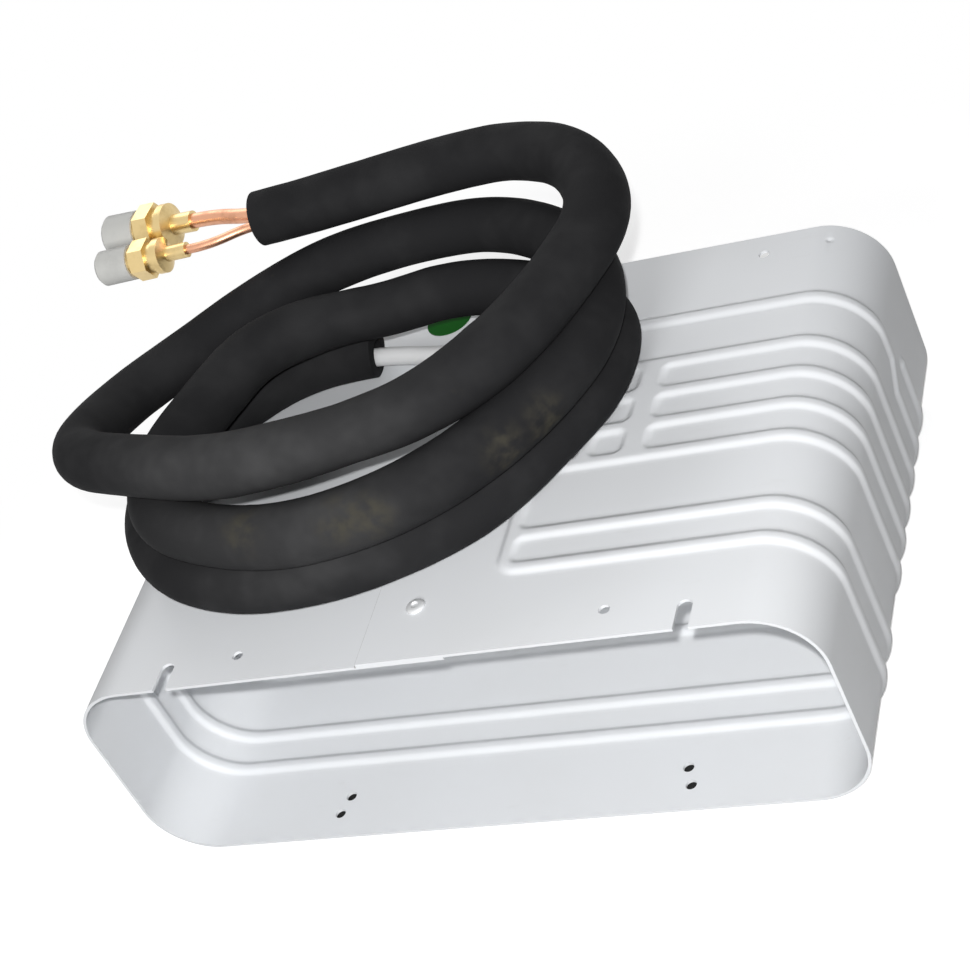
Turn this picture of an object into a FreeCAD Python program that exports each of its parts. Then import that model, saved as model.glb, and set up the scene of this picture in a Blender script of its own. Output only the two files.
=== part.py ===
import FreeCAD, Part
import math
import os

os.makedirs("parts", exist_ok=True)

Vector = FreeCAD.Vector
UP = Vector(0, 0, 1)
ALONG_DEPTH = Vector(0, 1, 0)

# Folded sheet. X is the width, Y the depth from front to back and Z is up.
# The plate stands on the channel crests of its underside, at Z = 0.
box_width = 370.0
box_depth = 264.0
box_height = 116.0
sheet = 1.5
bend_radius = 31.0
lap_left = -25.0
lap_right = 18.5

# Raised channels. They stand out on both faces of the sheet and are hollow.
base_half = 4.7
crest_half = 2.2
relief = 1.6
skin = 0.75
flank_skin = 0.3
crest_skin = 0.2
row_pitch = 21.4
front_row_inset = 48.8
front_rows = (0, 1)
main_rows = (3, 4, 5, 6)
rear_rows = (7, 8)
port_row = 7.5
header_offsets = (118.0, 93.4, 68.8)
jog_start = 13.0
jog_end = 25.0
rear_row_start = 28.0
hairpin_start = 38.0
manifold_at = 44.0

# Fixing holes and slots
hole_radius = 2.4
top_hole_spacing = 184.0
top_hole_inset = 16.2
slot_spacing = 258.6
slot_width = 7.0
slot_depth = 16.4
rear_hole_inset = 14.5
pair_front_spacing = 183.0
pair_front_inset = 14.0
pair_rear_spacing = 177.0
pair_rear_inset = 24.5
dimple_spacing = 324.0
dimple_inset = 11.4
dimple_depth = 0.7
dimple_ball = 4.0

# Rivets of the lap seam
rivet_x = -3.0
rivet_rows = (-100.0, 0.0, 104.0)
rivet_shank = 2.1
rivet_head = 4.8
rivet_head_height = 1.7
rivet_tail = 3.6
rivet_tail_height = 1.4
rivet_dish = 1.8
rivet_dish_depth = 0.8
rivet_dish_slope = 0.6
rivet_rim_height = 0.9
rivet_rim_slope = 0.7
rivet_tail_slope = 0.6

# Port tube, the fine tube inside it, and the socket that the port channel swells into
tube_radius = 4.75
tube_wall = 1.0
fine_radius = 1.0
fine_bore = 0.5
fine_drop = 0.8
fine_rise = 0.3
fine_mouth = 2.0
fine_reach = 9.0
socket_wall = 1.2
socket_narrow = 0.7
socket_grip = 12.0
socket_length = 32.0
tube_run = 12.0
tube_lift = 1.2
tube_entry = 2.0

# Foam covered line
foam_radius = 14.5
foam_bore = 8.0
foam_lift = 0.3
cover_of_tube = 20.0
bore_depth = 24.0
foam_start_x = -66.0
foam_row_y = 79.0
coil_clearance = 0.2
turn_pitch = 28.0
section_corner = 6.0
tail_run = 30.0
tail_end_rise = 2.5

# Couplings at the line's far end
suction_radius = 4.0
liquid_radius = 2.5
line_wall = 0.8
line_cover = 20.0
line_mouth = 6.0
line_slant = 1.2
line_bend = 14.0
line_spread = 1.1
suction_size = 24.0
liquid_size = 19.0
coupling_grip = 12.0
neck_wall = 1.6
collar_start = 14.0
hexagon_start = 22.0
hexagon_length = 9.0
barrel_start = 18.0
barrel_end = 46.0
barrel_chamfer = 2.0
nose_length = 4.0
barrel_part = 0.42
nose_part = 0.25
cap_start = 33.5
cap_wall = 1.4
cap_length = 19.5
cap_chamfer = 1.5
cap_end_wall = 3.0

# Round label
label_radius = 12.4
label_thickness = 0.3
label_x = -42.7
label_inset = 19.3

bend_line = box_width / 2 - bend_radius
front_edge = -box_depth / 2
back_edge = box_depth / 2
box_top = relief + box_height
lower_top = box_top - sheet
front_row = front_edge + front_row_inset
port_y = front_row + port_row * row_pitch
tube_z = lower_top + tube_radius


def row_y(row):
    """Depth position of a channel row."""
    return front_row + row * row_pitch


def rows_y(rows):
    """Depth positions of several channel rows, front to back."""
    return [row_y(row) for row in rows]


def polygon_face(points):
    """Flat face inside a closed polygon."""
    return Part.Face(Part.makePolygon(points + [points[0]]))


def full_profile(half):
    """Both sides of a channel's cross section, from the side with positive offsets."""
    return half + [(-offset, height) for offset, height in reversed(half)]


OUTER_HALF = [
    (crest_half, -sheet - relief),
    (base_half, -sheet),
    (base_half, 0.0),
    (crest_half, relief),
]
HOLLOW_HALF = [
    (crest_half - crest_skin, -sheet - relief + skin),
    (base_half - flank_skin, -sheet / 2),
    (crest_half - crest_skin, relief - skin),
]


class Panel:
    """A flat or a bend of the sheet, followed clockwise as seen from the front."""

    def __init__(self, x, z, heading, length=0.0, turn=0.0):
        """Heights over the sheet's outer face are positive outwards."""
        self.x = x
        self.z = z
        self.heading = math.radians(heading)
        self.length = length
        self.turn = turn

    def point(self, along, depth, height=0.0):
        """Point of the sheet's developed surface, at a height over its outer face."""
        cosine = math.cos(self.heading)
        sine = math.sin(self.heading)
        return Vector(self.x + along * cosine - height * sine, depth, self.z + along * sine + height * cosine)

    def normal(self):
        """Outward direction."""
        return self.point(0, 0, 1) - self.point(0, 0, 0)

    def section(self, rows, hollow):
        """Face of the sheet's cross section at the panel's start, with a ridge at each row."""
        outside = [(front_edge, 0.0)]
        inside = [(front_edge, -sheet)]
        for y in rows:
            outside += [(y - base_half, 0.0), (y - crest_half, relief)]
            outside += [(y + crest_half, relief), (y + base_half, 0.0)]
            inside += [(y - base_half, -sheet), (y - crest_half, -sheet - relief)]
            inside += [(y + crest_half, -sheet - relief), (y + base_half, -sheet)]
        outside.append((back_edge, 0.0))
        inside.append((back_edge, -sheet))
        outline = [self.point(0, y, n) for y, n in outside + inside[::-1]]
        wires = [Part.makePolygon(outline + [outline[0]])]
        if hollow:
            for y in rows:
                passage = [self.point(0, y + w, n) for w, n in full_profile(HOLLOW_HALF)]
                wires.append(Part.makePolygon(passage + [passage[0]]))
        return Part.makeFace(wires, "Part::FaceMakerBullseye")

    def body(self, rows=(), hollow=False):
        """Solid of the panel with its straight rows."""
        face = self.section(rows, hollow)
        if self.turn:
            return face.revolve(self.point(0, 0, -bend_radius), ALONG_DEPTH, self.turn)
        return face.extrude(self.point(self.length, 0) - self.point(0, 0))

    def run(self, start, end, half):
        """Straight length of channel between two places on a flat."""
        path = self.point(*end) - self.point(*start)
        across = path.cross(self.normal()).normalize()
        corners = [self.point(start[0], start[1], n) + across * w for w, n in full_profile(half)]
        return polygon_face(corners).extrude(path)

    def knob(self, place, half):
        """Round end or corner of a channel: its cross section turned about the normal."""
        along = self.point(1, 0) - self.point(0, 0)
        edge = [self.point(place[0], place[1], n) + along * w for w, n in half]
        foot = self.point(place[0], place[1], half[0][1])
        top = self.point(place[0], place[1], half[-1][1])
        return polygon_face([foot] + edge + [top]).revolve(foot, self.normal(), 360)

    def hairpin(self, along, first_y, second_y, half):
        """Half-circle turn that joins two neighbouring rows."""
        middle = (first_y + second_y) / 2
        corners = [self.point(along, first_y + w, n) for w, n in full_profile(half)]
        axis = self.normal()
        step = self.point(0, 1) - self.point(0, 0)
        forward = self.point(1, 0) - self.point(0, 0)
        angle = 180 if axis.cross(step * (first_y - middle)).dot(forward) > 0 else -180
        return polygon_face(corners).revolve(self.point(along, middle), axis, angle)


def follow_ring():
    """The sheet's panels in order, from the upper end of the lap to the lower end."""
    right_flat = box_height - 2 * bend_radius
    left_flat = right_flat - sheet
    steps = [
        ("top", bend_line - lap_left, 0),
        ("top_right_bend", 0, 90),
        ("right_wall", right_flat, 0),
        ("bottom_right_bend", 0, 90),
        ("bottom", 2 * bend_line, 0),
        ("bottom_left_bend", 0, 90),
        ("left_wall", left_flat, 0),
        ("top_left_bend", 0, 90),
        ("lower_top", bend_line + lap_right, 0),
    ]
    panels = {}
    x, z, heading = lap_left, box_top, 0
    for name, length, turn in steps:
        panel = Panel(x, z, heading, length, turn)
        panels[name] = panel
        if turn:
            centre = panel.point(0, 0, -bend_radius)
            end = centre + panel.normal().cross(ALONG_DEPTH) * -bend_radius
            heading -= turn
        else:
            end = panel.point(length, 0)
        x, z = end.x, end.z
    return panels


def top_channels(panel, half):
    """Channels of the upper sheet: rows from the headers to the bend, and the port row."""
    end = panel.length
    headers = [bend_line - offset - lap_left for offset in header_offsets]
    pieces = [panel.run((headers[0], y), (end, y), half) for y in rows_y(front_rows + main_rows)]
    pieces.append(panel.run((socket_length, port_y), (end, port_y), half))
    pieces.append(panel.run((headers[0], front_row), (headers[0], port_y), half))
    pieces.append(panel.knob((headers[0], front_row), half))
    for header in headers[1:]:
        pieces.append(panel.run((header, row_y(main_rows[0])), (header, row_y(main_rows[-1])), half))
    return pieces


def right_wall_channels(panel, half):
    """The port row steps forward to make room for the rearmost row, which starts below it."""
    first, last = rows_y(rear_rows)
    return [
        panel.run((0, port_y), (jog_start, port_y), half),
        panel.knob((jog_start, port_y), half),
        panel.run((jog_start, port_y), (jog_end, first), half),
        panel.knob((jog_end, first), half),
        panel.run((jog_end, first), (panel.length, first), half),
        panel.knob((rear_row_start, last), half),
        panel.run((rear_row_start, last), (panel.length, last), half),
    ]


def left_wall_channels(panel, half):
    """A hairpin joins the front rows and a manifold joins all the others."""
    front = rows_y(front_rows)
    others = rows_y(main_rows + rear_rows)
    pieces = [panel.run((0, y), (hairpin_start, y), half) for y in front]
    pieces.append(panel.hairpin(hairpin_start, front[0], front[1], half))
    pieces += [panel.run((0, y), (manifold_at, y), half) for y in others]
    pieces.append(panel.run((manifold_at, others[0]), (manifold_at, others[-1]), half))
    pieces += [panel.knob((manifold_at, y), half) for y in (others[0], others[-1])]
    return pieces


def socket(grown):
    """Swelling at the port row's start, or with grown = 0 the passage through it."""
    grip_radius = tube_radius + grown
    centre = Vector(lap_left, port_y, tube_z)
    grip = Part.makeCylinder(grip_radius, socket_grip, centre, Vector(1, 0, 0))
    wide = Part.makeCircle(grip_radius, centre + Vector(socket_grip, 0, 0), Vector(1, 0, 0))
    narrow_centre = Vector(lap_left + socket_length + 1.0, port_y, box_top - sheet / 2)
    narrow_radius = sheet / 2 + relief - skin + min(grown, socket_narrow)
    narrow = Part.makeCircle(narrow_radius, narrow_centre, Vector(1, 0, 0))
    taper = Part.makeLoft([Part.Wire(wide), Part.Wire(narrow)], True, True)
    return [grip, taper]


def through_hole(x, y, z, radius):
    """Drill through one wall of the box, or through both sheets of the lap."""
    reach = 2 * sheet + 2.0
    return Part.makeCylinder(radius, 2 * reach, Vector(x, y, z - reach), UP)


def fixing_holes():
    """Cutters of the holes and the open slots."""
    cutters = []
    for side in (-1, 1):
        for spacing, y, z in (
            (top_hole_spacing, front_edge + top_hole_inset, box_top),
            (slot_spacing, back_edge - rear_hole_inset, box_top),
            (pair_front_spacing, front_edge + pair_front_inset, relief),
            (pair_rear_spacing, front_edge + pair_rear_inset, relief),
        ):
            cutters.append(through_hole(side * spacing / 2, y, z, hole_radius))
        slot_x = side * slot_spacing / 2
        slot_end = front_edge + slot_depth - slot_width / 2
        cutters.append(through_hole(slot_x, slot_end, box_top, slot_width / 2))
        corner = Vector(slot_x - slot_width / 2, front_edge - 1.0, box_top - 2 * sheet - 2.0)
        cutters.append(Part.makeBox(slot_width, slot_end - front_edge + 1.0, 4 * sheet, corner))
        cutters.append(dimple(side))
    cutters += [through_hole(rivet_x, y, box_top, rivet_shank) for y in rivet_rows]
    return cutters


def dimple(side):
    """Ball that presses a shallow locating mark just past the bend line."""
    top = box_top if side > 0 else lower_top
    past_line = dimple_spacing / 2 - bend_line
    angle = math.asin(past_line / bend_radius)
    distance = bend_radius + dimple_ball - dimple_depth
    x = side * (bend_line + distance * math.sin(angle))
    z = top - bend_radius + distance * math.cos(angle)
    return Part.makeSphere(dimple_ball, Vector(x, back_edge - dimple_inset, z))


def evaporator_plate():
    """The folded sheet with its hollow channels, its socket, holes and slots."""
    panels = follow_ring()
    straight = rows_y(front_rows + main_rows)
    upper_rows = straight + [port_y]
    lower_rows = straight + rows_y(rear_rows)
    bodies = [
        panels["top"].body(),
        panels["top_right_bend"].body(upper_rows, True),
        panels["right_wall"].body(straight, True),
        panels["bottom_right_bend"].body(lower_rows, True),
        panels["bottom"].body(lower_rows, True),
        panels["bottom_left_bend"].body(lower_rows, True),
        panels["left_wall"].body(),
        panels["top_left_bend"].body(),
        panels["lower_top"].body(),
    ]
    makers = {"top": top_channels, "right_wall": right_wall_channels, "left_wall": left_wall_channels}
    for name, maker in makers.items():
        bodies += maker(panels[name], OUTER_HALF)
    bodies += socket(socket_wall)
    plate = bodies[0].fuse(bodies[1:])
    passages = []
    for name, maker in makers.items():
        passages += maker(panels[name], HOLLOW_HALF)
    passages += socket(0.0)
    plate = plate.cut(passages)
    return plate.cut(fixing_holes()).removeSplitter()


def lap_rivets():
    """Rivets with a dished head on the outside and a closed tail on the inside."""
    rivets = []
    grip_bottom = box_top - 2 * sheet
    head_top = box_top + rivet_head_height
    for y in rivet_rows:
        centre = Vector(rivet_x, y, 0)
        outline = [
            Vector(0, 0, grip_bottom - rivet_tail_height),
            Vector(rivet_tail - rivet_tail_slope, 0, grip_bottom - rivet_tail_height),
            Vector(rivet_tail, 0, grip_bottom),
            Vector(rivet_shank, 0, grip_bottom),
            Vector(rivet_shank, 0, box_top),
            Vector(rivet_head, 0, box_top),
            Vector(rivet_head - rivet_rim_slope, 0, box_top + rivet_rim_height),
            Vector(rivet_dish, 0, head_top),
            Vector(rivet_dish - rivet_dish_slope, 0, head_top - rivet_dish_depth),
            Vector(0, 0, head_top - rivet_dish_depth),
        ]
        rivet = polygon_face(outline).revolve(Vector(0, 0, 0), UP, 360)
        rivets.append(rivet.translated(centre))
    return Part.makeCompound(rivets)


ARC_SHARE = 0.45


def arc_radius(before, corner, after):
    """Radius of the tangent arc at one corner of a route."""
    first = before - corner
    second = after - corner
    turn = math.pi - first.getAngle(second)
    return ARC_SHARE * min(first.Length, second.Length) / math.tan(turn / 2)


def route_wire(points, name):
    """Straight runs joined by tangent arcs."""
    edges = []
    start = points[0]
    radii = []
    for before, corner, after in zip(points, points[1:], points[2:]):
        back = (before - corner).normalize()
        ahead = (after - corner).normalize()
        radius = arc_radius(before, corner, after)
        half_turn = (math.pi - back.getAngle(ahead)) / 2
        setback = radius * math.tan(half_turn)
        bisector = (back + ahead).normalize()
        middle = corner + bisector * (radius / math.cos(half_turn) - radius)
        arc_start = corner + back * setback
        arc_end = corner + ahead * setback
        edges.append(Part.LineSegment(start, arc_start).toShape())
        edges.append(Part.Arc(arc_start, middle, arc_end).toShape())
        start = arc_end
        radii.append(round(radius, 1))
    edges.append(Part.LineSegment(start, points[-1]).toShape())
    print(name, "arc radii", radii)
    return Part.Wire(edges)


def round_line(points, radius, bore, name):
    """Pipe that follows a route, with its volume checked against its section and length."""
    wire = route_wire(points, name)
    heading = points[1] - points[0]
    ring = Part.Face(Part.Wire(Part.makeCircle(radius, points[0], heading)))
    if bore > 0:
        ring = ring.cut(Part.Face(Part.Wire(Part.makeCircle(bore, points[0], heading))))
    pipe = wire.makePipe(ring.Faces[0])
    pipe = pipe if pipe.ShapeType == "Solid" else pipe.Solids[0]
    expected = wire.Length * math.pi * (radius ** 2 - bore ** 2)
    print(name, "length", round(wire.Length, 1), "volume ratio", round(pipe.Volume / expected, 4))
    return pipe


def foam_line(points, mouth, inward, name):
    """Foam cover of a stretch of line, open where the bare tubes leave it."""
    cover = round_line(points, foam_radius, 0, name)
    return cover.cut(Part.makeCylinder(foam_bore, bore_depth, mouth, inward))


foam_z = lower_top + foam_radius + foam_lift
tube_end_z = foam_z - foam_bore + tube_radius + tube_lift
near_foam_route = [
    Vector(foam_start_x, foam_row_y, foam_z),
    Vector(-92.0, foam_row_y, foam_z),
    Vector(-117.0, 72.5, foam_z),
    Vector(-139.0, 56.0, foam_z),
]
port_tube_route = [
    Vector(lap_left + socket_grip, port_y, tube_z),
    Vector(lap_left - tube_run, port_y, tube_z),
    Vector(foam_start_x + tube_entry, foam_row_y, tube_end_z),
    Vector(foam_start_x + tube_entry - cover_of_tube, foam_row_y, tube_end_z),
]
fine_tube_route = [
    Vector(lap_left + socket_length + fine_reach, port_y, box_top - sheet / 2),
    Vector(lap_left + socket_length - fine_mouth, port_y, box_top - sheet / 2 + fine_rise),
    Vector(lap_left + socket_grip + 2 * fine_mouth, port_y, tube_z - fine_drop),
    Vector(lap_left - tube_run, port_y, tube_z),
    Vector(foam_start_x + tube_entry, foam_row_y, tube_end_z),
    Vector(foam_start_x + tube_entry - cover_of_tube, foam_row_y, tube_end_z),
]

# Coil levels, from the lowest: centre, half length, half width, end radius and slant in degrees
coil_levels = (
    (Vector(-47.0, 11.0, 0), 117.0, 99.0, 78.0, 10.0),
    (Vector(-47.0, 18.0, 0), 119.0, 105.0, 78.0, 16.0),
    (Vector(-57.0, 40.0, 0), 148.0, 86.0, 65.0, 28.4),
)
coil_bottom = box_top + relief + coil_clearance


def level_arcs(half_length, half_width, end_radius):
    """Centre, radius, first angle and sweep of the four arcs of an oval turn."""
    reach = half_length - end_radius
    side_radius = (half_length ** 2 + half_width ** 2 - 2 * half_length * end_radius)
    side_radius /= 2 * (half_width - end_radius)
    drop = side_radius - half_width
    joint = math.degrees(math.atan2(drop, reach))
    return {
        "right_end": (Vector(reach, 0, 0), end_radius, -joint, 2 * joint),
        "back_side": (Vector(0, -drop, 0), side_radius, joint, 180 - 2 * joint),
        "left_end": (Vector(-reach, 0, 0), end_radius, 180 - joint, 2 * joint),
        "front_side": (Vector(0, drop, 0), side_radius, 180 + joint, 180 - 2 * joint),
    }


def turn_piece(arc, bottom, height):
    """One arc of a turn: a bevelled square section turned about the arc's centre."""
    centre, radius, first, sweep = arc
    outside = radius + foam_radius
    inside = radius - foam_radius
    top = bottom + height
    corners = [
        Vector(inside + section_corner, 0, bottom),
        Vector(outside - section_corner, 0, bottom),
        Vector(outside, 0, bottom + section_corner),
        Vector(outside, 0, top - section_corner),
        Vector(outside - section_corner, 0, top),
        Vector(inside + section_corner, 0, top),
        Vector(inside, 0, top - section_corner),
        Vector(inside, 0, bottom + section_corner),
    ]
    piece = polygon_face(corners).revolve(Vector(0, 0, 0), UP, sweep)
    piece.rotate(Vector(0, 0, 0), UP, first)
    return piece.translated(centre)


def coil_envelope():
    """Outer shape of the loose coil: oval turns on each other, the top one open at the back."""
    pieces = []
    for level, (centre, half_length, half_width, end_radius, slant) in enumerate(coil_levels):
        arcs = level_arcs(half_length, half_width, end_radius)
        if level == len(coil_levels) - 1:
            del arcs["back_side"]
        bottom = coil_bottom + level * turn_pitch
        for arc in arcs.values():
            piece = turn_piece(arc, bottom, turn_pitch)
            piece.rotate(Vector(0, 0, 0), UP, slant)
            pieces.append(piece.translated(centre))
    return pieces[0].fuse(pieces[1:]).removeSplitter().Solids[0]


def tail_start():
    """Point where the top turn ends, and the direction in which the tail leaves it."""
    centre, half_length, half_width, end_radius, slant = coil_levels[-1]
    arc_centre, radius, first, sweep = level_arcs(half_length, half_width, end_radius)["right_end"]
    end_angle = math.radians(first + sweep)
    point = arc_centre + Vector(radius * math.cos(end_angle), radius * math.sin(end_angle), 0)
    heading = Vector(-math.sin(end_angle), math.cos(end_angle), 0)
    slanted = FreeCAD.Rotation(UP, slant)
    point = slanted.multVec(point) + centre
    height = coil_bottom + (len(coil_levels) - 0.5) * turn_pitch
    return Vector(point.x, point.y, height), slanted.multVec(heading)


tail_top, tail_heading = tail_start()
tail_end = Vector(-124.0, 126.5, tail_top.z + tail_end_rise)
tail_route = [
    tail_top,
    tail_top + tail_heading * tail_run,
    Vector(-44.0, 140.0, tail_top.z + 0.8),
    Vector(-74.0, 133.5, tail_top.z + 1.6),
    Vector(-104.0, 128.5, tail_top.z + 2.2),
    tail_end,
]


def far_line(offset_y, offset_z, spread_y, straight):
    """Route of one bare tube from inside the foam's end to its coupling."""
    start = tail_end + Vector(line_cover, offset_y + line_slant, offset_z)
    mouth = tail_end + Vector(-line_mouth, offset_y, offset_z)
    bend = tail_end + Vector(line_bend - straight, offset_y + spread_y, offset_z)
    end = tail_end + Vector(-straight - coupling_grip, offset_y + spread_y * line_spread, offset_z)
    return [start, mouth, bend, end]


suction_route = far_line(3.2, 0.5, 7.0, 44.0)
liquid_route = far_line(-4.3, -1.0, -8.5, 40.0)


def turned_along_line(profile, start, heading):
    """Body of revolution about a tube's axis, from (distance, radius) pairs."""
    points = [Vector(profile[0][0], 0, 0)]
    points += [Vector(distance, 0, radius) for distance, radius in profile]
    points.append(Vector(profile[-1][0], 0, 0))
    body = polygon_face(points).revolve(Vector(0, 0, 0), Vector(1, 0, 0), 360)
    return place_on_line(body, start, heading)


def place_on_line(body, start, heading):
    """Turn a body built along X to a tube's heading and set it at a point of the tube."""
    body = body.copy()
    body.Placement = FreeCAD.Placement(start, FreeCAD.Rotation(Vector(1, 0, 0), heading))
    return body


def hexagon_bar(across_flats, length, distance):
    """Hexagonal bar along X."""
    corner = across_flats / math.sqrt(3)
    points = []
    for step in range(6):
        angle = math.radians(60 * step)
        points.append(Vector(distance, corner * math.cos(angle), corner * math.sin(angle)))
    return polygon_face(points).extrude(Vector(length, 0, 0))


def coupling(route, line_radius, size):
    """Screwed line coupling: brazed neck, hexagon, barrel and nose, on the line's last stretch."""
    heading = (route[-1] - route[-2]).normalize()
    start = route[-1] - heading * coupling_grip
    neck = line_radius + neck_wall
    barrel = size * barrel_part
    nose = size * nose_part
    profile = [
        (0.0, neck),
        (coupling_grip, neck),
        (collar_start, size / 2),
        (barrel_start, size / 2),
        (barrel_start, barrel),
        (barrel_end - barrel_chamfer, barrel),
        (barrel_end, barrel - barrel_chamfer),
        (barrel_end, nose),
        (barrel_end + nose_length, nose),
    ]
    body = turned_along_line(profile, start, heading)
    body = body.fuse(place_on_line(hexagon_bar(size, hexagon_length, hexagon_start), start, heading))
    bore = Part.makeCylinder(line_radius, coupling_grip, start, heading)
    return body.cut(bore).removeSplitter().Solids[0]


def dust_cap(route, size):
    """Plain push-on cap over a coupling's nose."""
    heading = (route[-1] - route[-2]).normalize()
    start = route[-1] + heading * (cap_start - coupling_grip)
    barrel = size * barrel_part
    nose = size * nose_part
    rim = barrel + cap_wall
    seat = barrel_end - cap_start
    outline = [(0.0, rim), (cap_length - cap_chamfer, rim), (cap_length, barrel)]
    outside = turned_along_line(outline, start, heading)
    inside = turned_along_line([(-1.0, barrel), (seat, barrel)], start, heading)
    recess = turned_along_line([(0.0, nose), (cap_length - cap_end_wall, nose)], start, heading)
    return outside.cut([inside, recess]).Solids[0]


coil = coil_envelope()
near_foam = foam_line(near_foam_route, near_foam_route[0], Vector(-1, 0, 0), "near foam").cut(coil)
near_foam = max(near_foam.Solids, key=lambda solid: solid.Volume)
tail_inward = (tail_route[-2] - tail_route[-1]).normalize()
label_foot = Vector(label_x, back_edge - label_inset, lower_top)

pieces = {
    "evaporator_plate": evaporator_plate(),
    "lap_rivets": lap_rivets(),
    "port_tube": round_line(port_tube_route, tube_radius, tube_radius - tube_wall, "port tube"),
    "capillary_tube": round_line(fine_tube_route, fine_radius, fine_bore, "capillary tube"),
    "round_label": Part.makeCylinder(label_radius, label_thickness, label_foot, UP),
    "foam_line_near": near_foam,
    "foam_line_coil": coil,
    "foam_line_tail": foam_line(tail_route, tail_end, tail_inward, "foam tail"),
    "suction_line_end": round_line(suction_route, suction_radius, suction_radius - line_wall, "suction end"),
    "liquid_line_end": round_line(liquid_route, liquid_radius, liquid_radius - line_wall, "liquid end"),
    "suction_coupling": coupling(suction_route, suction_radius, suction_size),
    "liquid_coupling": coupling(liquid_route, liquid_radius, liquid_size),
    "suction_dust_cap": dust_cap(suction_route, suction_size),
    "liquid_dust_cap": dust_cap(liquid_route, liquid_size),
}

for name, shape in pieces.items():
    shape.exportStep("parts/" + name + ".step")
    box = shape.BoundBox
    print(name, shape.isValid(), len(shape.Solids), round(shape.Volume / 1000, 2), "cm3",
          [round(v, 1) for v in (box.XMin, box.XMax, box.YMin, box.YMax, box.ZMin, box.ZMax)])
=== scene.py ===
"""Looks of a box-shaped refrigerator evaporator plate with its coiled, foam covered refrigerant line."""
import logging
import math
from collections.abc import Iterable, Sequence
from dataclasses import dataclass, field
from enum import Enum

import bpy
from mathutils import Euler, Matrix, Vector, noise


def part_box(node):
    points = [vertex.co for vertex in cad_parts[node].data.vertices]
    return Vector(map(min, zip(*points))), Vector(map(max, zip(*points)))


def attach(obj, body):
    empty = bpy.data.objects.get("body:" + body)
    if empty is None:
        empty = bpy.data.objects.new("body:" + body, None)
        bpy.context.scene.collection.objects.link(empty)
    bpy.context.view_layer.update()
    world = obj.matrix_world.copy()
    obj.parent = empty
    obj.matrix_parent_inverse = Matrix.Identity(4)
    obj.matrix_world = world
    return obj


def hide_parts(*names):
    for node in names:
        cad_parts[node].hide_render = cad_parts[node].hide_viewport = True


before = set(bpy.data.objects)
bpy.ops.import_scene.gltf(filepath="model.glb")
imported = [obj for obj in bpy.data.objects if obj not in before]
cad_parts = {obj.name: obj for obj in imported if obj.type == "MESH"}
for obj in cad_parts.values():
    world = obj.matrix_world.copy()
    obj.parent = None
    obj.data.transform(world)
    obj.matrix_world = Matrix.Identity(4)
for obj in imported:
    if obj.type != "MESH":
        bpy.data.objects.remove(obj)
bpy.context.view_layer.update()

LOG = logging.getLogger("evaporator")
MM = 0.001
BODY = "root"

Number = float | int
Point = tuple[float, float, float]
FlatPoint = tuple[float, float]
Colour = tuple[float, float, float]

BLACK: Colour = (0.0, 0.0, 0.0)
WHITE: Colour = (1.0, 1.0, 1.0)


class Wire:
    """One output socket of a node tree. Arithmetic on it adds Math nodes to the tree."""

    def __init__(self, graph: "Graph", socket: bpy.types.NodeSocket) -> None:
        """Keeps the tree and the socket."""
        self.graph = graph
        self.socket = socket

    def math(self, operation: str, *others: "Wire | Number") -> "Wire":
        """Adds one Math node.

        Args:
            operation: Name of the Math node's operation.
            others: Second and third operand.

        Returns:
            The result.
        """
        values = dict(enumerate((self, *others)))
        return self.graph.wire("ShaderNodeMath", {"operation": operation}, values)

    def under(self, operation: str, first: Number) -> "Wire":
        """Adds one Math node that has a number as its first operand."""
        return self.graph.wire("ShaderNodeMath", {"operation": operation}, {0: first, 1: self})

    def __add__(self, other: "Wire | Number") -> "Wire":
        """Sum."""
        return self.math("ADD", other)

    def __sub__(self, other: "Wire | Number") -> "Wire":
        """Difference."""
        return self.math("SUBTRACT", other)

    def __mul__(self, other: "Wire | Number") -> "Wire":
        """Product."""
        return self.math("MULTIPLY", other)

    def __truediv__(self, other: "Wire | Number") -> "Wire":
        """Quotient."""
        return self.math("DIVIDE", other)

    def __rsub__(self, other: Number) -> "Wire":
        """Difference from a number."""
        return self.under("SUBTRACT", other)

    def __rtruediv__(self, other: Number) -> "Wire":
        """Quotient of a number by the value."""
        return self.under("DIVIDE", other)

    __radd__ = __add__
    __rmul__ = __mul__

    def clamp(self, low: Number, high: Number) -> "Wire":
        """Limits the value to a range."""
        return self.math("MAXIMUM", low).math("MINIMUM", high)

    def smooth(self, start: Number, end: Number) -> "Wire":
        """Smooth step.

        Args:
            start: Value that gives 0.
            end: Value that gives 1, above or below start.

        Returns:
            The step, from 0 to 1.
        """
        reached = ((self - start) / (end - start)).clamp(0.0, 1.0)
        return reached * reached * (3.0 - reached * 2.0)


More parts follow.
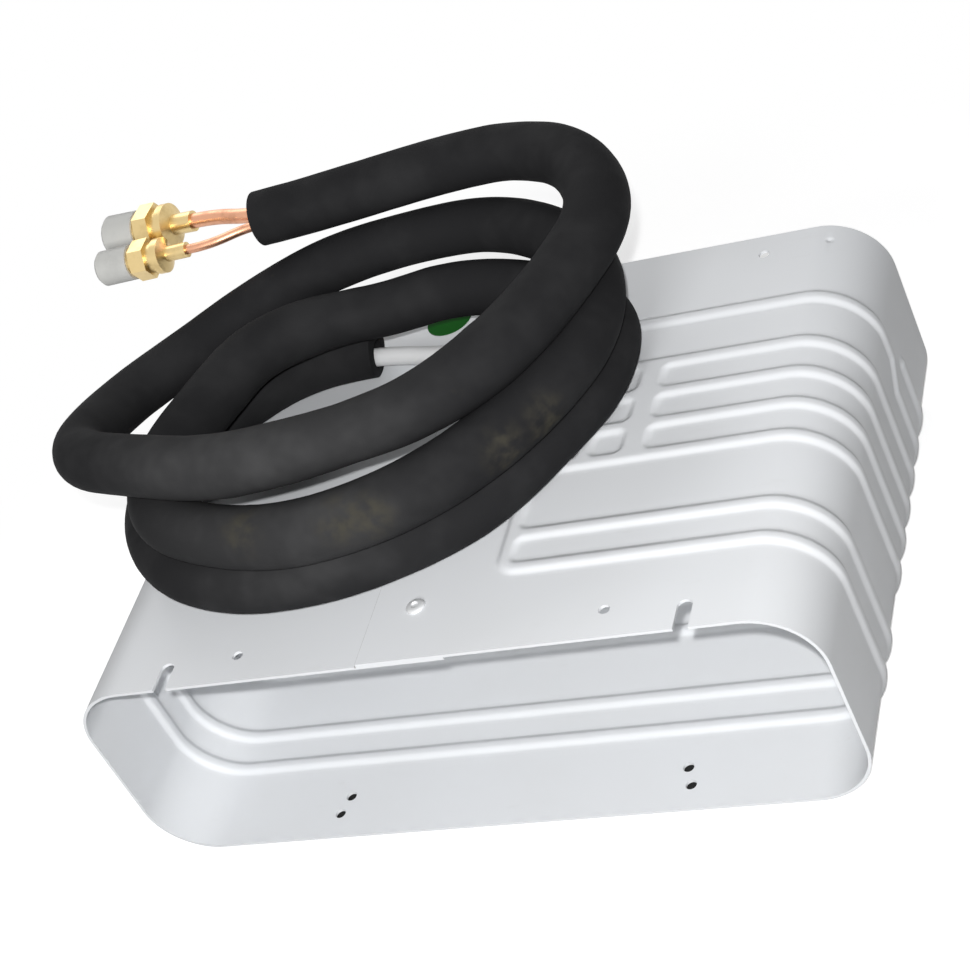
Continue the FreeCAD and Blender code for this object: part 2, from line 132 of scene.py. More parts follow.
class Graph:
    """A node tree with one way to add a node and feed its sockets."""

    def __init__(self, tree: bpy.types.NodeTree) -> None:
        """Starts from an empty tree."""
        self.tree = tree
        tree.nodes.clear()

    def node(self, kind: str, settings: dict | None = None, inputs: dict | None = None) -> bpy.types.Node:
        """Adds a node.

        Args:
            kind: The node's type.
            settings: Attributes, set before the sockets.
            inputs: Socket name or number, to a value or a Wire, or to several Wires.

        Returns:
            The node.
        """
        made = self.tree.nodes.new(kind)
        for name, value in (settings or {}).items():
            setattr(made, name, value)
        for key, value in (inputs or {}).items():
            self.feed(made.inputs[key], value)
        return made

    def wire(
        self, kind: str, settings: dict | None = None, inputs: dict | None = None, output: int | str = 0
    ) -> Wire:
        """Adds a node and returns one of its outputs."""
        return Wire(self, self.node(kind, settings, inputs).outputs[output])

    def feed(self, socket: bpy.types.NodeSocket, value: object) -> None:
        """Links or writes an input.

        Args:
            socket: The input.
            value: A Wire or a list of them to link, or a plain value to write.
        """
        if isinstance(value, Wire):
            value = [value]
        if isinstance(value, list):
            for one in value:
                self.tree.links.new(one.socket, socket)
        else:
            socket.default_value = value

    def parts(self, vector: Wire) -> list[Wire]:
        """The three numbers of a vector."""
        split = self.node("ShaderNodeSeparateXYZ", {}, {0: vector})
        return [Wire(self, output) for output in split.outputs]


@dataclass(frozen=True)
class Grain:
    """Noise over a piece: waves per metre, octaves, and the levels between which it fades in as a mask."""

    scale: float
    detail: float = 2.0
    low: float = 0.0
    high: float = 1.0
    roughness: float = 0.5
    stretch: Point = (1.0, 1.0, 1.0)


class ShaderGraph(Graph):
    """A material's tree, with the patterns that the finishes share."""

    def __init__(self, material: bpy.types.Material) -> None:
        """Adds the surface shader and its output to the material.

        Args:
            material: The material.
        """
        material.use_nodes = True
        super().__init__(material.node_tree)
        self.surface = self.node("ShaderNodeBsdfPrincipled")
        self.output = self.node("ShaderNodeOutputMaterial")
        self.tree.links.new(self.surface.outputs[0], self.output.inputs["Surface"])
        self.place = self.wire("ShaderNodeTexCoord", output="Object")

    def noise(self, grain: Grain) -> Wire:
        """Noise over the piece.

        Args:
            grain: Its kind.

        Returns:
            The noise, from 0 to 1.
        """
        place = self.wire("ShaderNodeMapping", {}, {"Vector": self.place, "Scale": grain.stretch})
        sockets = {"Vector": place, "Scale": grain.scale, "Detail": grain.detail}
        sockets["Roughness"] = grain.roughness
        return self.wire("ShaderNodeTexNoise", {}, sockets)

    def mask(self, grain: Grain) -> Wire:
        """The noise, faded in between the grain's two levels."""
        return self.noise(grain).smooth(grain.low, grain.high)

    def near(self, place: Point, reach: float, core: float) -> Wire:
        """Soft round spot.

        Args:
            place: Its middle, in millimetres.
            reach: Its radius in metres.
            core: Share of the radius within which it is full.

        Returns:
            1 in the spot and 0 away from it.
        """
        return self.distance(Vector(place) * MM).smooth(reach, core * reach)

    def distance(self, place: Vector) -> Wire:
        """Distance from a place on the piece, in metres."""
        sockets = {0: self.place, 1: tuple(place)}
        return self.wire("ShaderNodeVectorMath", {"operation": "DISTANCE"}, sockets, "Value")

    def mix(self, amount: Wire | Number, first: Colour | Wire, second: Colour | Wire) -> Wire:
        """Blends two colours.

        Args:
            amount: 0 for the first colour, 1 for the second.
            first: Colour, or a Wire that carries one.
            second: Colour, or a Wire that carries one.

        Returns:
            The blended colour.
        """
        made = self.node("ShaderNodeMix", {"data_type": "RGBA"}, {0: amount})
        for socket, colour in ((made.inputs[6], first), (made.inputs[7], second)):
            self.feed(socket, colour if isinstance(colour, Wire) else (*colour, 1.0))
        return Wire(self, made.outputs[2])

    def bump(self, height: Wire, distance: float, strength: float = 1.0) -> Wire:
        """Normal of a small relief.

        Args:
            height: The relief, from 0 to 1.
            distance: Its full height in metres.
            strength: How much of it is seen.

        Returns:
            The bumped normal.
        """
        sockets = {"Height": height, "Distance": distance, "Strength": strength}
        return self.wire("ShaderNodeBump", {}, sockets, "Normal")

    def finish(self, **sockets: object) -> None:
        """Feeds the surface shader's sockets.

        Args:
            sockets: Name of a socket, with underscores for spaces, to a value or a Wire.
        """
        for name, value in sockets.items():
            socket = self.surface.inputs[name.replace("_", " ").title().replace("Ior", "IOR")]
            self.feed(socket, (*value, 1.0) if isinstance(value, tuple) else value)


@dataclass(frozen=True)
class Finish:
    """A finish that is made once and shared by the pieces that have it."""

    name: str
    colour: Colour
    roughness: float = 0.5

    def material(self) -> bpy.types.Material:
        """The finish's material, made on first use.

        Returns:
            The material.
        """
        known = bpy.data.materials.get(self.name)
        if known:
            return known
        made = bpy.data.materials.new(self.name)
        self.dress(ShaderGraph(made))
        return made

    def dress(self, graph: ShaderGraph) -> None:
        """Builds the surface."""
        graph.finish(base_color=self.colour, roughness=self.roughness)


@dataclass(frozen=True)
class CoatedSheet(Finish):
    """Thin white coating on rolled aluminium: faint clouds, a fine skin, a few handling marks and painted
    shade along the lap's free edge.
    """

    smudge: Colour = (0.56, 0.56, 0.55)
    gloss: float = 0.25
    clouds: Grain = Grain(9.0, 3.0, 0.35, 0.75)
    marks: Grain = Grain(46.0, 4.0, 0.62, 0.78, 0.62, (1.0, 2.4, 1.0))
    specks: Grain = Grain(900.0, 1.0, 0.70, 0.80)
    tints: tuple[float, float, float] = (0.16, 0.13, 0.10)  # of clouds, marks and specks
    dulling: float = 0.08
    polish: float = 0.06
    skin: tuple[Grain, Grain] = (Grain(1500.0), Grain(160.0))
    skin_height: float = 0.03 * MM
    skin_strength: float = 0.5
    seam: FlatPoint | None = (-25.35 * MM, 115.4 * MM)  # place across, and height over which the painted shade line shows
    seam_half: float = 0.7 * MM
    seam_core: float = 0.3
    seam_shade_grain: Grain = Grain(300.0, 2.0, 0.15, 0.6)
    seam_shade_colour: Colour = (0.30, 0.30, 0.29)

    def seam_shade(self, graph: ShaderGraph) -> Wire | Number:
        """Painted shade along the lap's free edge: a patchy dark line on the upper side of the sheet below
        it.

        Args:
            graph: The material's tree.

        Returns:
            How much painted shade there is, from 0 to 1.
        """
        if self.seam is None:
            return 0.0
        across, _, height = graph.parts(graph.place)
        core = self.seam_core * self.seam_half
        beside = (across - self.seam[0]).math("ABSOLUTE").smooth(self.seam_half, core)
        return beside * height.math("GREATER_THAN", self.seam[1]) * graph.mask(self.seam_shade_grain)

    def dress(self, graph: ShaderGraph) -> None:
        """Clouds in the colour, marks in the roughness, and the skin as a bump.

        Args:
            graph: The material's tree.
        """
        clouds, marks, specks = (graph.mask(grain) for grain in (self.clouds, self.marks, self.specks))
        tint = clouds * self.tints[0] + marks * self.tints[1] + specks * self.tints[2]
        colour = graph.mix(tint, self.colour, self.smudge)
        fine, broad = (graph.noise(grain) * 0.5 for grain in self.skin)
        graph.finish(
            # painted shade: a dark line along the lap's free edge
            base_color=graph.mix(self.seam_shade(graph), colour, self.seam_shade_colour),
            roughness=self.roughness + clouds * self.dulling - marks * self.polish,
            specular_ior_level=self.gloss,
            normal=graph.bump(fine + broad, self.skin_height, self.skin_strength),
        )


@dataclass(frozen=True)
class BareMetal(Finish):
    """Bare metal with fine turning or drawing marks and a little tarnish."""

    tarnish: Colour = (0.30, 0.28, 0.25)
    stretch: Point = (1.0, 1.0, 1.0)
    metal: float = 1.0
    stain: Grain = Grain(120.0, 4.0, 0.45, 0.80, 0.6)
    stained: float = 0.45
    dulling: FlatPoint = (0.18, 0.10)  # by stains and by lines
    line_scale: float = 1400.0
    line_height: float = 0.02 * MM
    line_strength: float = 0.4

    def dress(self, graph: ShaderGraph) -> None:
        """Tarnish in the colour and marks in the roughness and the bump.

        Args:
            graph: The material's tree.
        """
        stain = graph.mask(self.stain)
        lines = graph.noise(Grain(self.line_scale, stretch=self.stretch))
        graph.finish(
            base_color=graph.mix(stain * self.stained, self.colour, self.tarnish),
            roughness=self.roughness + stain * self.dulling[0] + lines * self.dulling[1],
            metallic=self.metal,
            normal=graph.bump(lines, self.line_height, self.line_strength),
        )


@dataclass(frozen=True)
class FoamSkin(Finish):
    """Closed-cell pipe foam: a dull skin with fine cells, paler patches, dusty scuffs and a painted
    highlight on the front of the upper turns.
    """

    # paler colour of the patches and of the painted highlight
    rubbed_and_highlight: Colour = (0.056, 0.056, 0.057)
    patches: Grain = Grain(26.0, 3.0, 0.40, 0.72, 0.6)
    patched: float = 0.18
    # painted highlight: a paler spot on the front of the upper turns that stands for the lamp's highlight
    painted_highlight: Point = (-60.0, -72.0, 204.0)
    painted_highlight_reach: float = 102.0 * MM
    painted_highlight_core: float = 0.35
    highlight_paleness: FlatPoint = (0.38, 0.25)  # painted highlight's paleness: everywhere in it, and more on patches
    scuff: Colour = (0.066, 0.060, 0.042)
    scuffed: tuple[Point, ...] = (
        (50.0, -56.0, 164.0),
        (65.0, -37.0, 162.0),
        (-65.0, -96.0, 173.0),
        (-4.0, -94.0, 169.0),
        (-18.0, -95.0, 170.0),
    )
    scuff_reach: float = 16.0 * MM
    scuff_core: float = 0.2
    dusty: float = 0.5
    scuff_grain: Grain = Grain(150.0, 2.0, 0.30, 0.75)
    rubs: Grain = Grain(17.0, 5.0, 0.66, 0.78, 0.7)
    cells: Grain = Grain(2100.0, roughness=0.6)
    waves: Grain = Grain(70.0)
    cell_share: float = 0.25
    relief: float = 0.55 * MM
    relief_strength: float = 0.5
    gloss: float = 0.03
    dulling: float = 0.1
    polish: float = 0.07

    def dress(self, graph: ShaderGraph) -> None:
        """Cells in the bump; paler patches, a painted highlight and scuffs in the colour.

        Args:
            graph: The material's tree.
        """
        patches, rubs = graph.mask(self.patches), graph.mask(self.rubs)
        for place in self.scuffed:
            rubs = rubs + graph.near(place, self.scuff_reach, self.scuff_core)
        scuffs = rubs.clamp(0.0, 1.0) * graph.mask(self.scuff_grain)
        # painted highlight on the front of the upper turns, mixed in as paler colour
        painted_highlight = graph.near(self.painted_highlight, self.painted_highlight_reach, self.painted_highlight_core)
        paler = patches * self.patched + painted_highlight * (self.highlight_paleness[0] + patches * self.highlight_paleness[1])
        colour = graph.mix(paler, self.colour, self.rubbed_and_highlight)
        skin = graph.noise(self.cells) * self.cell_share + graph.noise(self.waves) * (1.0 - self.cell_share)
        graph.finish(
            base_color=graph.mix(scuffs * self.dusty, colour, self.scuff),
            roughness=self.roughness - patches * self.polish + scuffs * self.dulling,
            specular_ior_level=self.gloss,
            normal=graph.bump(skin, self.relief, self.relief_strength),
        )


@dataclass(frozen=True)
class PrintedFilm(Finish):
    """Plain coloured label film with a slightly worn face."""

    worn: Grain = Grain(150.0, 4.0, 0.50, 0.75, 0.6)
    wear: float = 0.5
    dulling: float = 0.1
    paler: FlatPoint = (1.35, 0.01)  # factor and addition
    grain: Grain = Grain(420.0)
    relief: float = 0.05 * MM
    relief_strength: float = 0.3
    gloss: float = 0.04

    def dress(self, graph: ShaderGraph) -> None:
        """Worn patches in the colour and a soft gloss.

        Args:
            graph: The material's tree.
        """
        worn = graph.mask(self.worn)
        pale = tuple(min(1.0, channel * self.paler[0] + self.paler[1]) for channel in self.colour)
        graph.finish(
            base_color=graph.mix(worn * self.wear, self.colour, pale),
            roughness=self.roughness + worn * self.dulling,
            specular_ior_level=self.gloss,
            normal=graph.bump(graph.noise(self.grain), self.relief, self.relief_strength),
        )


@dataclass(frozen=True)
class MouldedPlastic(Finish):
    """Plain moulded plastic with a fine satin texture."""

    dirt: Grain = Grain(90.0, 4.0, 0.50, 0.80, 0.6)
    soiled: float = 0.35
    dulling: float = 0.12
    darker: float = 0.72
    grain: Grain = Grain(1700.0)
    relief: float = 0.03 * MM
    relief_strength: float = 0.5

    def dress(self, graph: ShaderGraph) -> None:
        """Fine texture and a trace of dirt.

        Args:
            graph: The material's tree.
        """
        dirt = graph.mask(self.dirt)
        dirty = tuple(channel * self.darker for channel in self.colour)
        graph.finish(
            base_color=graph.mix(dirt * self.soiled, self.colour, dirty),
            roughness=self.roughness + dirt * self.dulling,
            normal=graph.bump(graph.noise(self.grain), self.relief, self.relief_strength),
        )


class Finishes(Enum):
    """The finishes of this object."""

    COATED_SHEET = CoatedSheet("white_coated_sheet", (0.700, 0.715, 0.735), 0.42)
    COATED_TUBE = CoatedSheet(
        "white_coated_tube", (0.680, 0.685, 0.690), 0.38, smudge=(0.50, 0.50, 0.48), seam=None
    )
    RIVET = BareMetal("bare_aluminium_rivet", (0.70, 0.71, 0.72), 0.50, (0.50, 0.50, 0.49), metal=0.35)
    COPPER = BareMetal("drawn_copper_tube", (0.72, 0.38, 0.24), 0.32, (0.26, 0.13, 0.08), (0.1, 1.0, 1.0))
    BRASS = BareMetal("turned_brass", (0.72, 0.55, 0.27), 0.28, (0.34, 0.24, 0.10), (2.0, 0.2, 0.2))
    FOAM = FoamSkin("charcoal_foam_skin", (0.017, 0.017, 0.018), 0.72)
    LABEL = PrintedFilm("green_label_film", (0.003, 0.085, 0.005), 0.60)
    CAP = MouldedPlastic("grey_cap_plastic", (0.52, 0.52, 0.50), 0.48)

    def material(self) -> bpy.types.Material:
        """The finish's material."""
        return self.value.material()


def link(made: bpy.types.Object) -> bpy.types.Object:
    """Puts an object in the scene."""
    bpy.context.scene.collection.objects.link(made)
    return made


def mesh_object(name: str, points: Sequence, faces: Sequence, edges: Sequence = ()) -> bpy.types.Object:
    """Makes a mesh object at the origin.

    Args:
        name: Its name.
        points: Vertex places.
        faces: Vertex numbers of each face.
        edges: Vertex numbers of loose edges.

    Returns:
        The object.
    """
    mesh = bpy.data.meshes.new(name)
    mesh.from_pydata([tuple(point) for point in points], list(edges), list(faces))
    mesh.update()
    return link(bpy.data.objects.new(name, mesh))


def shade(piece: bpy.types.Object, sharp_over: float = 35.0) -> None:
    """Smooth shading, with edges sharper than an angle in degrees kept sharp."""
    piece.data.shade_smooth()
    piece.data.set_sharp_from_angle(angle=math.radians(sharp_over))


def install(piece: bpy.types.Object, finish: Finishes, stands_for: Sequence[str] = ()) -> None:
    """Gives a finished piece its material, body and slot.

    Args:
        piece: The piece.
        finish: Its finish.
        stands_for: CAD nodes in whose place it is shown.
    """
    piece.data.materials.clear()
    piece.data.materials.append(finish.material())
    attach(piece, BODY)
    if stands_for:
        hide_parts(*stands_for)
    LOG.info("%s: %d faces", piece.name, len(piece.data.polygons))


def circle(sides: int) -> list[float]:
    """Angles of the corners of a round shape."""
    return [math.tau * step / sides for step in range(sides)]


def ring_faces(rings: int, sides: int) -> list[tuple[int, ...]]:
    """Faces that join rings of points.

    Args:
        rings: Number of rings.
        sides: Points in each ring.

    Returns:
        The point numbers of each face.
    """
    faces = []
    for ring in range(rings - 1):
        low, high = ring * sides, (ring + 1) * sides
        for step in range(sides):
            after = (step + 1) % sides
            faces.append((low + step, low + after, high + after, high + step))
    return faces


def lathe(name: str, outline: Sequence[FlatPoint], sides: int) -> bpy.types.Object:
    """Turns an outline about the upright axis.

    Args:
        name: The object's name.
        outline: Height and radius of each corner, from a point on the axis to another.
        sides: Sides of the turned shape.

    Returns:
        The closed object.
    """
    inner = outline[1:-1]
    points = [(radius * math.cos(a), radius * math.sin(a), height) for height, radius in inner
              for a in circle(sides)]
    faces = ring_faces(len(inner), sides)
    points += [(0.0, 0.0, outline[0][0]), (0.0, 0.0, outline[-1][0])]
    first_rim, last_rim = 0, (len(inner) - 1) * sides
    low_hub, high_hub = len(points) - 2, len(points) - 1
    for step in range(sides):
        after = (step + 1) % sides
        faces.append((first_rim + after, first_rim + step, low_hub))
        faces.append((last_rim + step, last_rim + after, high_hub))
    return mesh_object(name, points, faces)


def swept(name: str, rings: Sequence[Sequence[Vector]]) -> bpy.types.Object:
    """Skins rings of equal count, in order, and closes both ends.

    Args:
        name: The object's name.
        rings: The rings, each going round the same way as seen along the sweep.

    Returns:
        The closed object.
    """
    sides = len(rings[0])
    points = [point for ring in rings for point in ring]
    faces = ring_faces(len(rings), sides)
    faces.append(tuple(range(sides))[::-1])
    faces.append(tuple(range(len(points) - sides, len(points))))
    return mesh_object(name, points, faces)


def spline_line(name: str, route: Sequence[Vector], resolution: int = 12) -> list[Vector]:
    """Points read from the smooth spline that has the route's points as its control points.

    Args:
        name: Name of the passing curve.
        route: Control points, in metres.
        resolution: Points to each control point.

    Returns:
        The points, in order.
    """
    curve = bpy.data.curves.new(name, "CURVE")
    curve.dimensions = "3D"
    curve.resolution_u = resolution
    spline = curve.splines.new("NURBS")
    spline.points.add(len(route) - 1)
    for target, point in zip(spline.points, route):
        target.co = (*point, 1.0)
    spline.order_u = 3
    spline.use_endpoint_u = True
    holder = link(bpy.data.objects.new(name, curve))
    evaluated = holder.evaluated_get(bpy.context.evaluated_depsgraph_get())
    mesh = bpy.data.meshes.new_from_object(evaluated)
    line = [vertex.co.copy() for vertex in mesh.vertices]
    bpy.data.objects.remove(holder)
    bpy.data.meshes.remove(mesh)
    return line


def line_frames(line: Sequence[Vector]) -> list[tuple[Vector, Vector, Vector]]:
    """Sets up rings along a line, without twist.

    Args:
        line: The line's points.

    Returns:
        Each point with two directions across the line there.
    """
    found = []
    side = Vector((0, 0, 1))
    for i, point in enumerate(line):
        ahead = (line[min(i + 1, len(line) - 1)] - line[max(i - 1, 0)]).normalized()
        side = (side - ahead * side.dot(ahead)).normalized()
        found.append((point, side, ahead.cross(side)))
    return found


def round_ring(centre: Vector, side: Vector, across: Vector, radius: float, sides: int) -> list[Vector]:
    """Points of a circle round a centre."""
    return [centre + side * (radius * math.cos(a)) + across * (radius * math.sin(a)) for a in circle(sides)]


def baked(piece: bpy.types.Object, tree: bpy.types.NodeTree, values: dict[str, object]) -> None:
    """Runs a node tree on an object and keeps the result as its plain mesh.

    Args:
        piece: The object.
        tree: Its Geometry Nodes tree.
        values: Input name to value.
    """
    modifier = piece.modifiers.new("shape", "NODES")
    modifier.node_group = tree
    for item in tree.interface.items_tree:
        if item.item_type == "SOCKET" and item.in_out == "INPUT" and item.name in values:
            modifier[item.identifier] = values[item.name]
    piece.data.update()
    evaluated = piece.evaluated_get(bpy.context.evaluated_depsgraph_get())
    mesh = bpy.data.meshes.new_from_object(evaluated)
    piece.modifiers.clear()
    mesh.name = piece.name
    piece.data = mesh


class ShapeGraph(Graph):
    """A Geometry Nodes tree with named inputs."""

    def __init__(self, name: str, inputs: dict[str, str]) -> None:
        """Makes the tree.

        Args:
            name: The tree's name.
            inputs: Name to socket type of each input after the geometry.
        """
        tree = bpy.data.node_groups.new(name, "GeometryNodeTree")
        tree.interface.new_socket("Geometry", in_out="INPUT", socket_type="NodeSocketGeometry")
        for label, kind in inputs.items():
            tree.interface.new_socket(label, in_out="INPUT", socket_type=kind)
        tree.interface.new_socket("Geometry", in_out="OUTPUT", socket_type="NodeSocketGeometry")
        super().__init__(tree)
        self.entry = self.node("NodeGroupInput")

    def given(self, name: str) -> Wire:
        """One of the tree's inputs."""
        return Wire(self, self.entry.outputs[name])

    def combine(self, x: Wire | Number, y: Wire | Number, z: Wire | Number) -> Wire:
        """Vector of three numbers."""
        return self.wire("ShaderNodeCombineXYZ", {}, {"X": x, "Y": y, "Z": z})

    def geometry_of(self, name: str) -> Wire:
        """Geometry of the object that an input names."""
        return self.wire("GeometryNodeObjectInfo", {}, {0: self.given(name)}, "Geometry")

    def end(self, geometry: Wire) -> None:
        """Realizes the instances, sets the material and closes the tree.

        Args:
            geometry: The finished shape.
        """
        real = self.wire("GeometryNodeRealizeInstances", {}, {"Geometry": geometry})
        sockets = {"Geometry": real, "Material": self.given("Material")}
        self.node("NodeGroupOutput", {}, {0: self.wire("GeometryNodeSetMaterial", {}, sockets)})


@dataclass(frozen=True)
class Channels:
    """Places of the refrigerant channels on the unrolled sheet, in metres.

    The steps of the grid over a channel's cross section are in millimetres.
    """

    front_row: float = -83.2 * MM
    pitch: float = 21.4 * MM
    front: tuple[int, ...] = (0, 1)
    main: tuple[int, ...] = (3, 4, 5, 6)
    rear: tuple[int, ...] = (7, 8)
    port: float = 7.5
    headers: tuple[float, ...] = (118.0 * MM, 93.4 * MM, 68.4 * MM)  # before the right bend
    wide_half: float = 2.6 * MM
    jog: FlatPoint = (13.0 * MM, 25.0 * MM)  # start and end on the right wall
    rear_start: float = 28.0 * MM  # on the right wall
    hairpin: float = 38.0 * MM  # on the left wall
    manifold: float = 44.0 * MM  # on the left wall
    port_start: float = 32.0 * MM
    base_half: float = 5.2 * MM
    crest_half: float = 1.0 * MM
    relief: float = 1.6 * MM
    junction: float = 8.0 * MM
    corner_steps: int = 8
    steps: tuple[float, ...] = (0.0, 1.0, 1.7, 2.4, 3.1, 3.8, 4.5, 5.2, 7.0)

    def row(self, number: float) -> float:
        """Depth position of a row."""
        return self.front_row + number * self.pitch

    def rows(self) -> list[float]:
        """Depth positions of all rows and of the port row."""
        return [self.row(number) for number in (*self.front, *self.main, *self.rear, self.port)]

    def corner(self, x: float, y: float, side: int, way: int) -> list[FlatPoint]:
        """Quarter circle that rounds a junction.

        Args:
            x: Place of the junction along the sheet.
            y: Place of the junction across the sheet.
            side: 1 towards larger x, -1 towards smaller x.
            way: The same across the sheet.

        Returns:
            The arc's points.
        """
        r = self.junction
        turns = [math.pi / 2 * step / self.corner_steps for step in range(self.corner_steps + 1)]
        return [(x + side * r * (1 - math.cos(a)), y + way * r * (1 - math.sin(a))) for a in turns]

    def grid_lines(self, centres: Iterable[float]) -> list[float]:
        """Grid lines that follow the cross section of channels at given places."""
        offsets = [side * step * MM for step in self.steps for side in (-1, 1)]
        return [centre + offset for centre in centres for offset in offsets]


@dataclass
class EvaporatorPlate:
    """The roll-bond sheet, drawn unrolled and then folded round four bends into a lapped box.

    A hole has its place, in millimetres, and whether it is in the top.
    """

    width: float = 370.0 * MM
    depth: float = 264.0 * MM
    height: float = 116.0 * MM
    sheet: float = 1.5 * MM
    bend_radius: float = 31.0 * MM
    lap_left: float = -25.0 * MM
    lap_right: float = 18.5 * MM
    hole_radius: float = 2.7 * MM
    holes: tuple[tuple[float, float, bool], ...] = (
        (92.0, -115.8, True),
        (129.3, 117.5, True),
        (91.5, -118.0, False),
        (88.5, -107.5, False),
    )
    slot: tuple[float, float, float] = (129.3 * MM, 3.5 * MM, 16.4 * MM)  # place, half width and length
    dimple: FlatPoint = (8.1 * MM, 120.6 * MM)  # past the flat top's end, and across
    dimple_radius: float = 2.5 * MM
    dimple_depth: float = 0.8 * MM
    fine_step: float = 0.9 * MM
    bend_step: float = 2.6 * MM
    dimple_step: float = 0.6 * MM
    margin: float = 0.6 * MM
    least_gap: float = 0.3 * MM
    widest_gaps: FlatPoint = (14.0 * MM, 8.0 * MM)  # of the grid, along and across
    hairpin_edges: float = 3.3  # reach of the fine lines over the hairpin, in channel halves
    lap_fade: FlatPoint = (1.0 * MM, 8.0 * MM)  # past the lap, where the inner relief starts and is full
    drill_length: float = 10.0 * MM
    drill_sides: int = 32
    slot_lead: float = 2.0 * MM
    slot_span: FlatPoint = (8.0 * MM, 6.0 * MM)  # below and above the top
    turn_steps: int = 16
    channels: Channels = field(default_factory=Channels)

    @property
    def arc(self) -> float:
        """Developed length of a bend."""
        return self.bend_radius * math.pi / 2

    @property
    def bend_line(self) -> float:
        """Distance of the bends' centres from the middle."""
        return self.width / 2 - self.bend_radius

    @property
    def top(self) -> float:
        """Height of the upper sheet's outer face."""
        return self.height + self.channels.relief

    def panels(self) -> list[tuple[str, float, bool]]:
        """The sheet's stretches, in order.

        Returns:
            Name, developed length and whether it is a bend, for each.
        """
        arc, wall = self.arc, self.height - 2 * self.bend_radius
        return [
            ("top", self.bend_line - self.lap_left, False),
            ("top_right_bend", arc, True),
            ("right_wall", wall, False),
            ("bottom_right_bend", arc, True),
            ("bottom", 2 * self.bend_line, False),
            ("bottom_left_bend", arc, True),
            ("left_wall", wall - self.sheet, False),
            ("top_left_bend", arc, True),
            ("lower_top", self.bend_line + self.lap_right, False),
        ]

    def starts(self) -> dict[str, float]:
        """Developed position where each stretch starts, and the sheet's full length.

        Returns:
            Name of the stretch, or "end", to its position.
        """
        found, reached = {}, 0.0
        for name, length, _ in self.panels():
            found[name] = reached
            reached += length
        found["end"] = reached
        return found

    def headers(self) -> list[float]:
        """Developed positions of the headers on the upper sheet."""
        return [self.bend_line - offset - self.lap_left for offset in self.channels.headers]

    def wide_header(self) -> list[float]:
        """Developed positions of the lines that make the last header wide and flat."""
        middle, half = self.headers()[-1], self.channels.wide_half
        return [middle - half, middle, middle + half]

    def centrelines(self) -> list[list[FlatPoint]]:
        """The channels' centrelines on the unrolled sheet."""
        c = self.channels
        return [*self._front_loop(c), *self._main_rows(c), *self._rear_rows(c)]

    def _front_loop(self, c: Channels) -> list[list[FlatPoint]]:
        """The two front rows, the header they start from and the hairpin that joins them.

        Args:
            c: The channels' places.

        Returns:
            The centrelines.
        """
        first, rows = self.headers()[0], [c.row(number) for number in c.front]
        hairpin = self.starts()["left_wall"] + c.hairpin
        middle, radius = sum(rows) / 2, (rows[1] - rows[0]) / 2
        turns = [math.pi * step / self.turn_steps - math.pi / 2 for step in range(self.turn_steps + 1)]
        return [
            [(first + c.junction, rows[0]), (hairpin, rows[0])],
            [(first, rows[1]), (hairpin, rows[1])],
            [(hairpin + radius * math.cos(a), middle + radius * math.sin(a)) for a in turns],
            [(first, rows[0] + c.junction), (first, c.row(c.port))],
            c.corner(first, rows[0], 1, 1),
            c.corner(first, rows[1], 1, 1),
            c.corner(first, rows[1], 1, -1),
        ]

    def _main_rows(self, c: Channels) -> list[list[FlatPoint]]:
        """The rows that run right round, with their headers.

        Args:
            c: The channels' places.

        Returns:
            The centrelines.
        """
        headers, rows = self.headers(), [c.row(number) for number in c.main]
        manifold = self.starts()["left_wall"] + c.manifold
        lines = [[(headers[0], y), (manifold - (c.junction if y == rows[0] else 0), y)] for y in rows]
        wide = self.wide_header()
        lines += [[(x, rows[0]), (x, rows[-1])] for x in (headers[1], *wide)]
        sides = [(headers[1], -1), (headers[1], 1), (wide[0], -1), (wide[-1], 1)]
        for y in rows:
            ways = [way for way in (-1, 1) if not (y == rows[0] and way < 0 or y == rows[-1] and way > 0)]
            lines += [c.corner(headers[0], y, 1, way) for way in (-1, 1)]
            lines += [c.corner(x, y, side, way) for x, side in sides for way in ways]
            lines += [c.corner(manifold, y, -1, way) for way in ((1,) if y == rows[0] else (-1, 1))]
        return lines

    def _rear_rows(self, c: Channels) -> list[list[FlatPoint]]:
        """The port row with its step, the rearmost row and the manifold.

        Args:
            c: The channels' places.

        Returns:
            The centrelines.
        """
        at, port = self.starts(), c.row(c.port)
        rows, wall = [c.row(number) for number in c.rear], at["right_wall"]
        manifold, first = at["left_wall"] + c.manifold, self.headers()[0]
        step_start, step_end = wall + c.jog[0], wall + c.jog[1]
        return [
            [(c.port_start, port), (step_start, port), (step_end, rows[0]), (manifold, rows[0])],
            [(wall + c.rear_start, rows[1]), (manifold - c.junction, rows[1])],
            [(manifold, c.row(c.main[0]) + c.junction), (manifold, rows[1] - c.junction)],
            c.corner(first, port, 1, -1),
            c.corner(first, port, -1, -1),
            c.corner(manifold, rows[0], -1, 1),
            c.corner(manifold, rows[0], -1, -1),
            c.corner(manifold, rows[1], -1, -1),
        ]

    def channel_map(self) -> bpy.types.Object:
        """The centrelines as a mesh of edges.

        Returns:
            The loose edges.
        """
        points, edges = [], []
        for line in self.centrelines():
            first = len(points)
            points += [(x, y, 0.0) for x, y in line]
            edges += [(first + i, first + i + 1) for i in range(len(line) - 1)]
        return mesh_object("channel_map", points, [], edges)

    def dimple_points(self) -> list[FlatPoint]:
        """Places of the two locating dimples on the unrolled sheet."""
        at, (past_bend, y) = self.starts(), self.dimple
        return [(at["top_right_bend"] + past_bend, y), (at["lower_top"] - past_bend, y)]

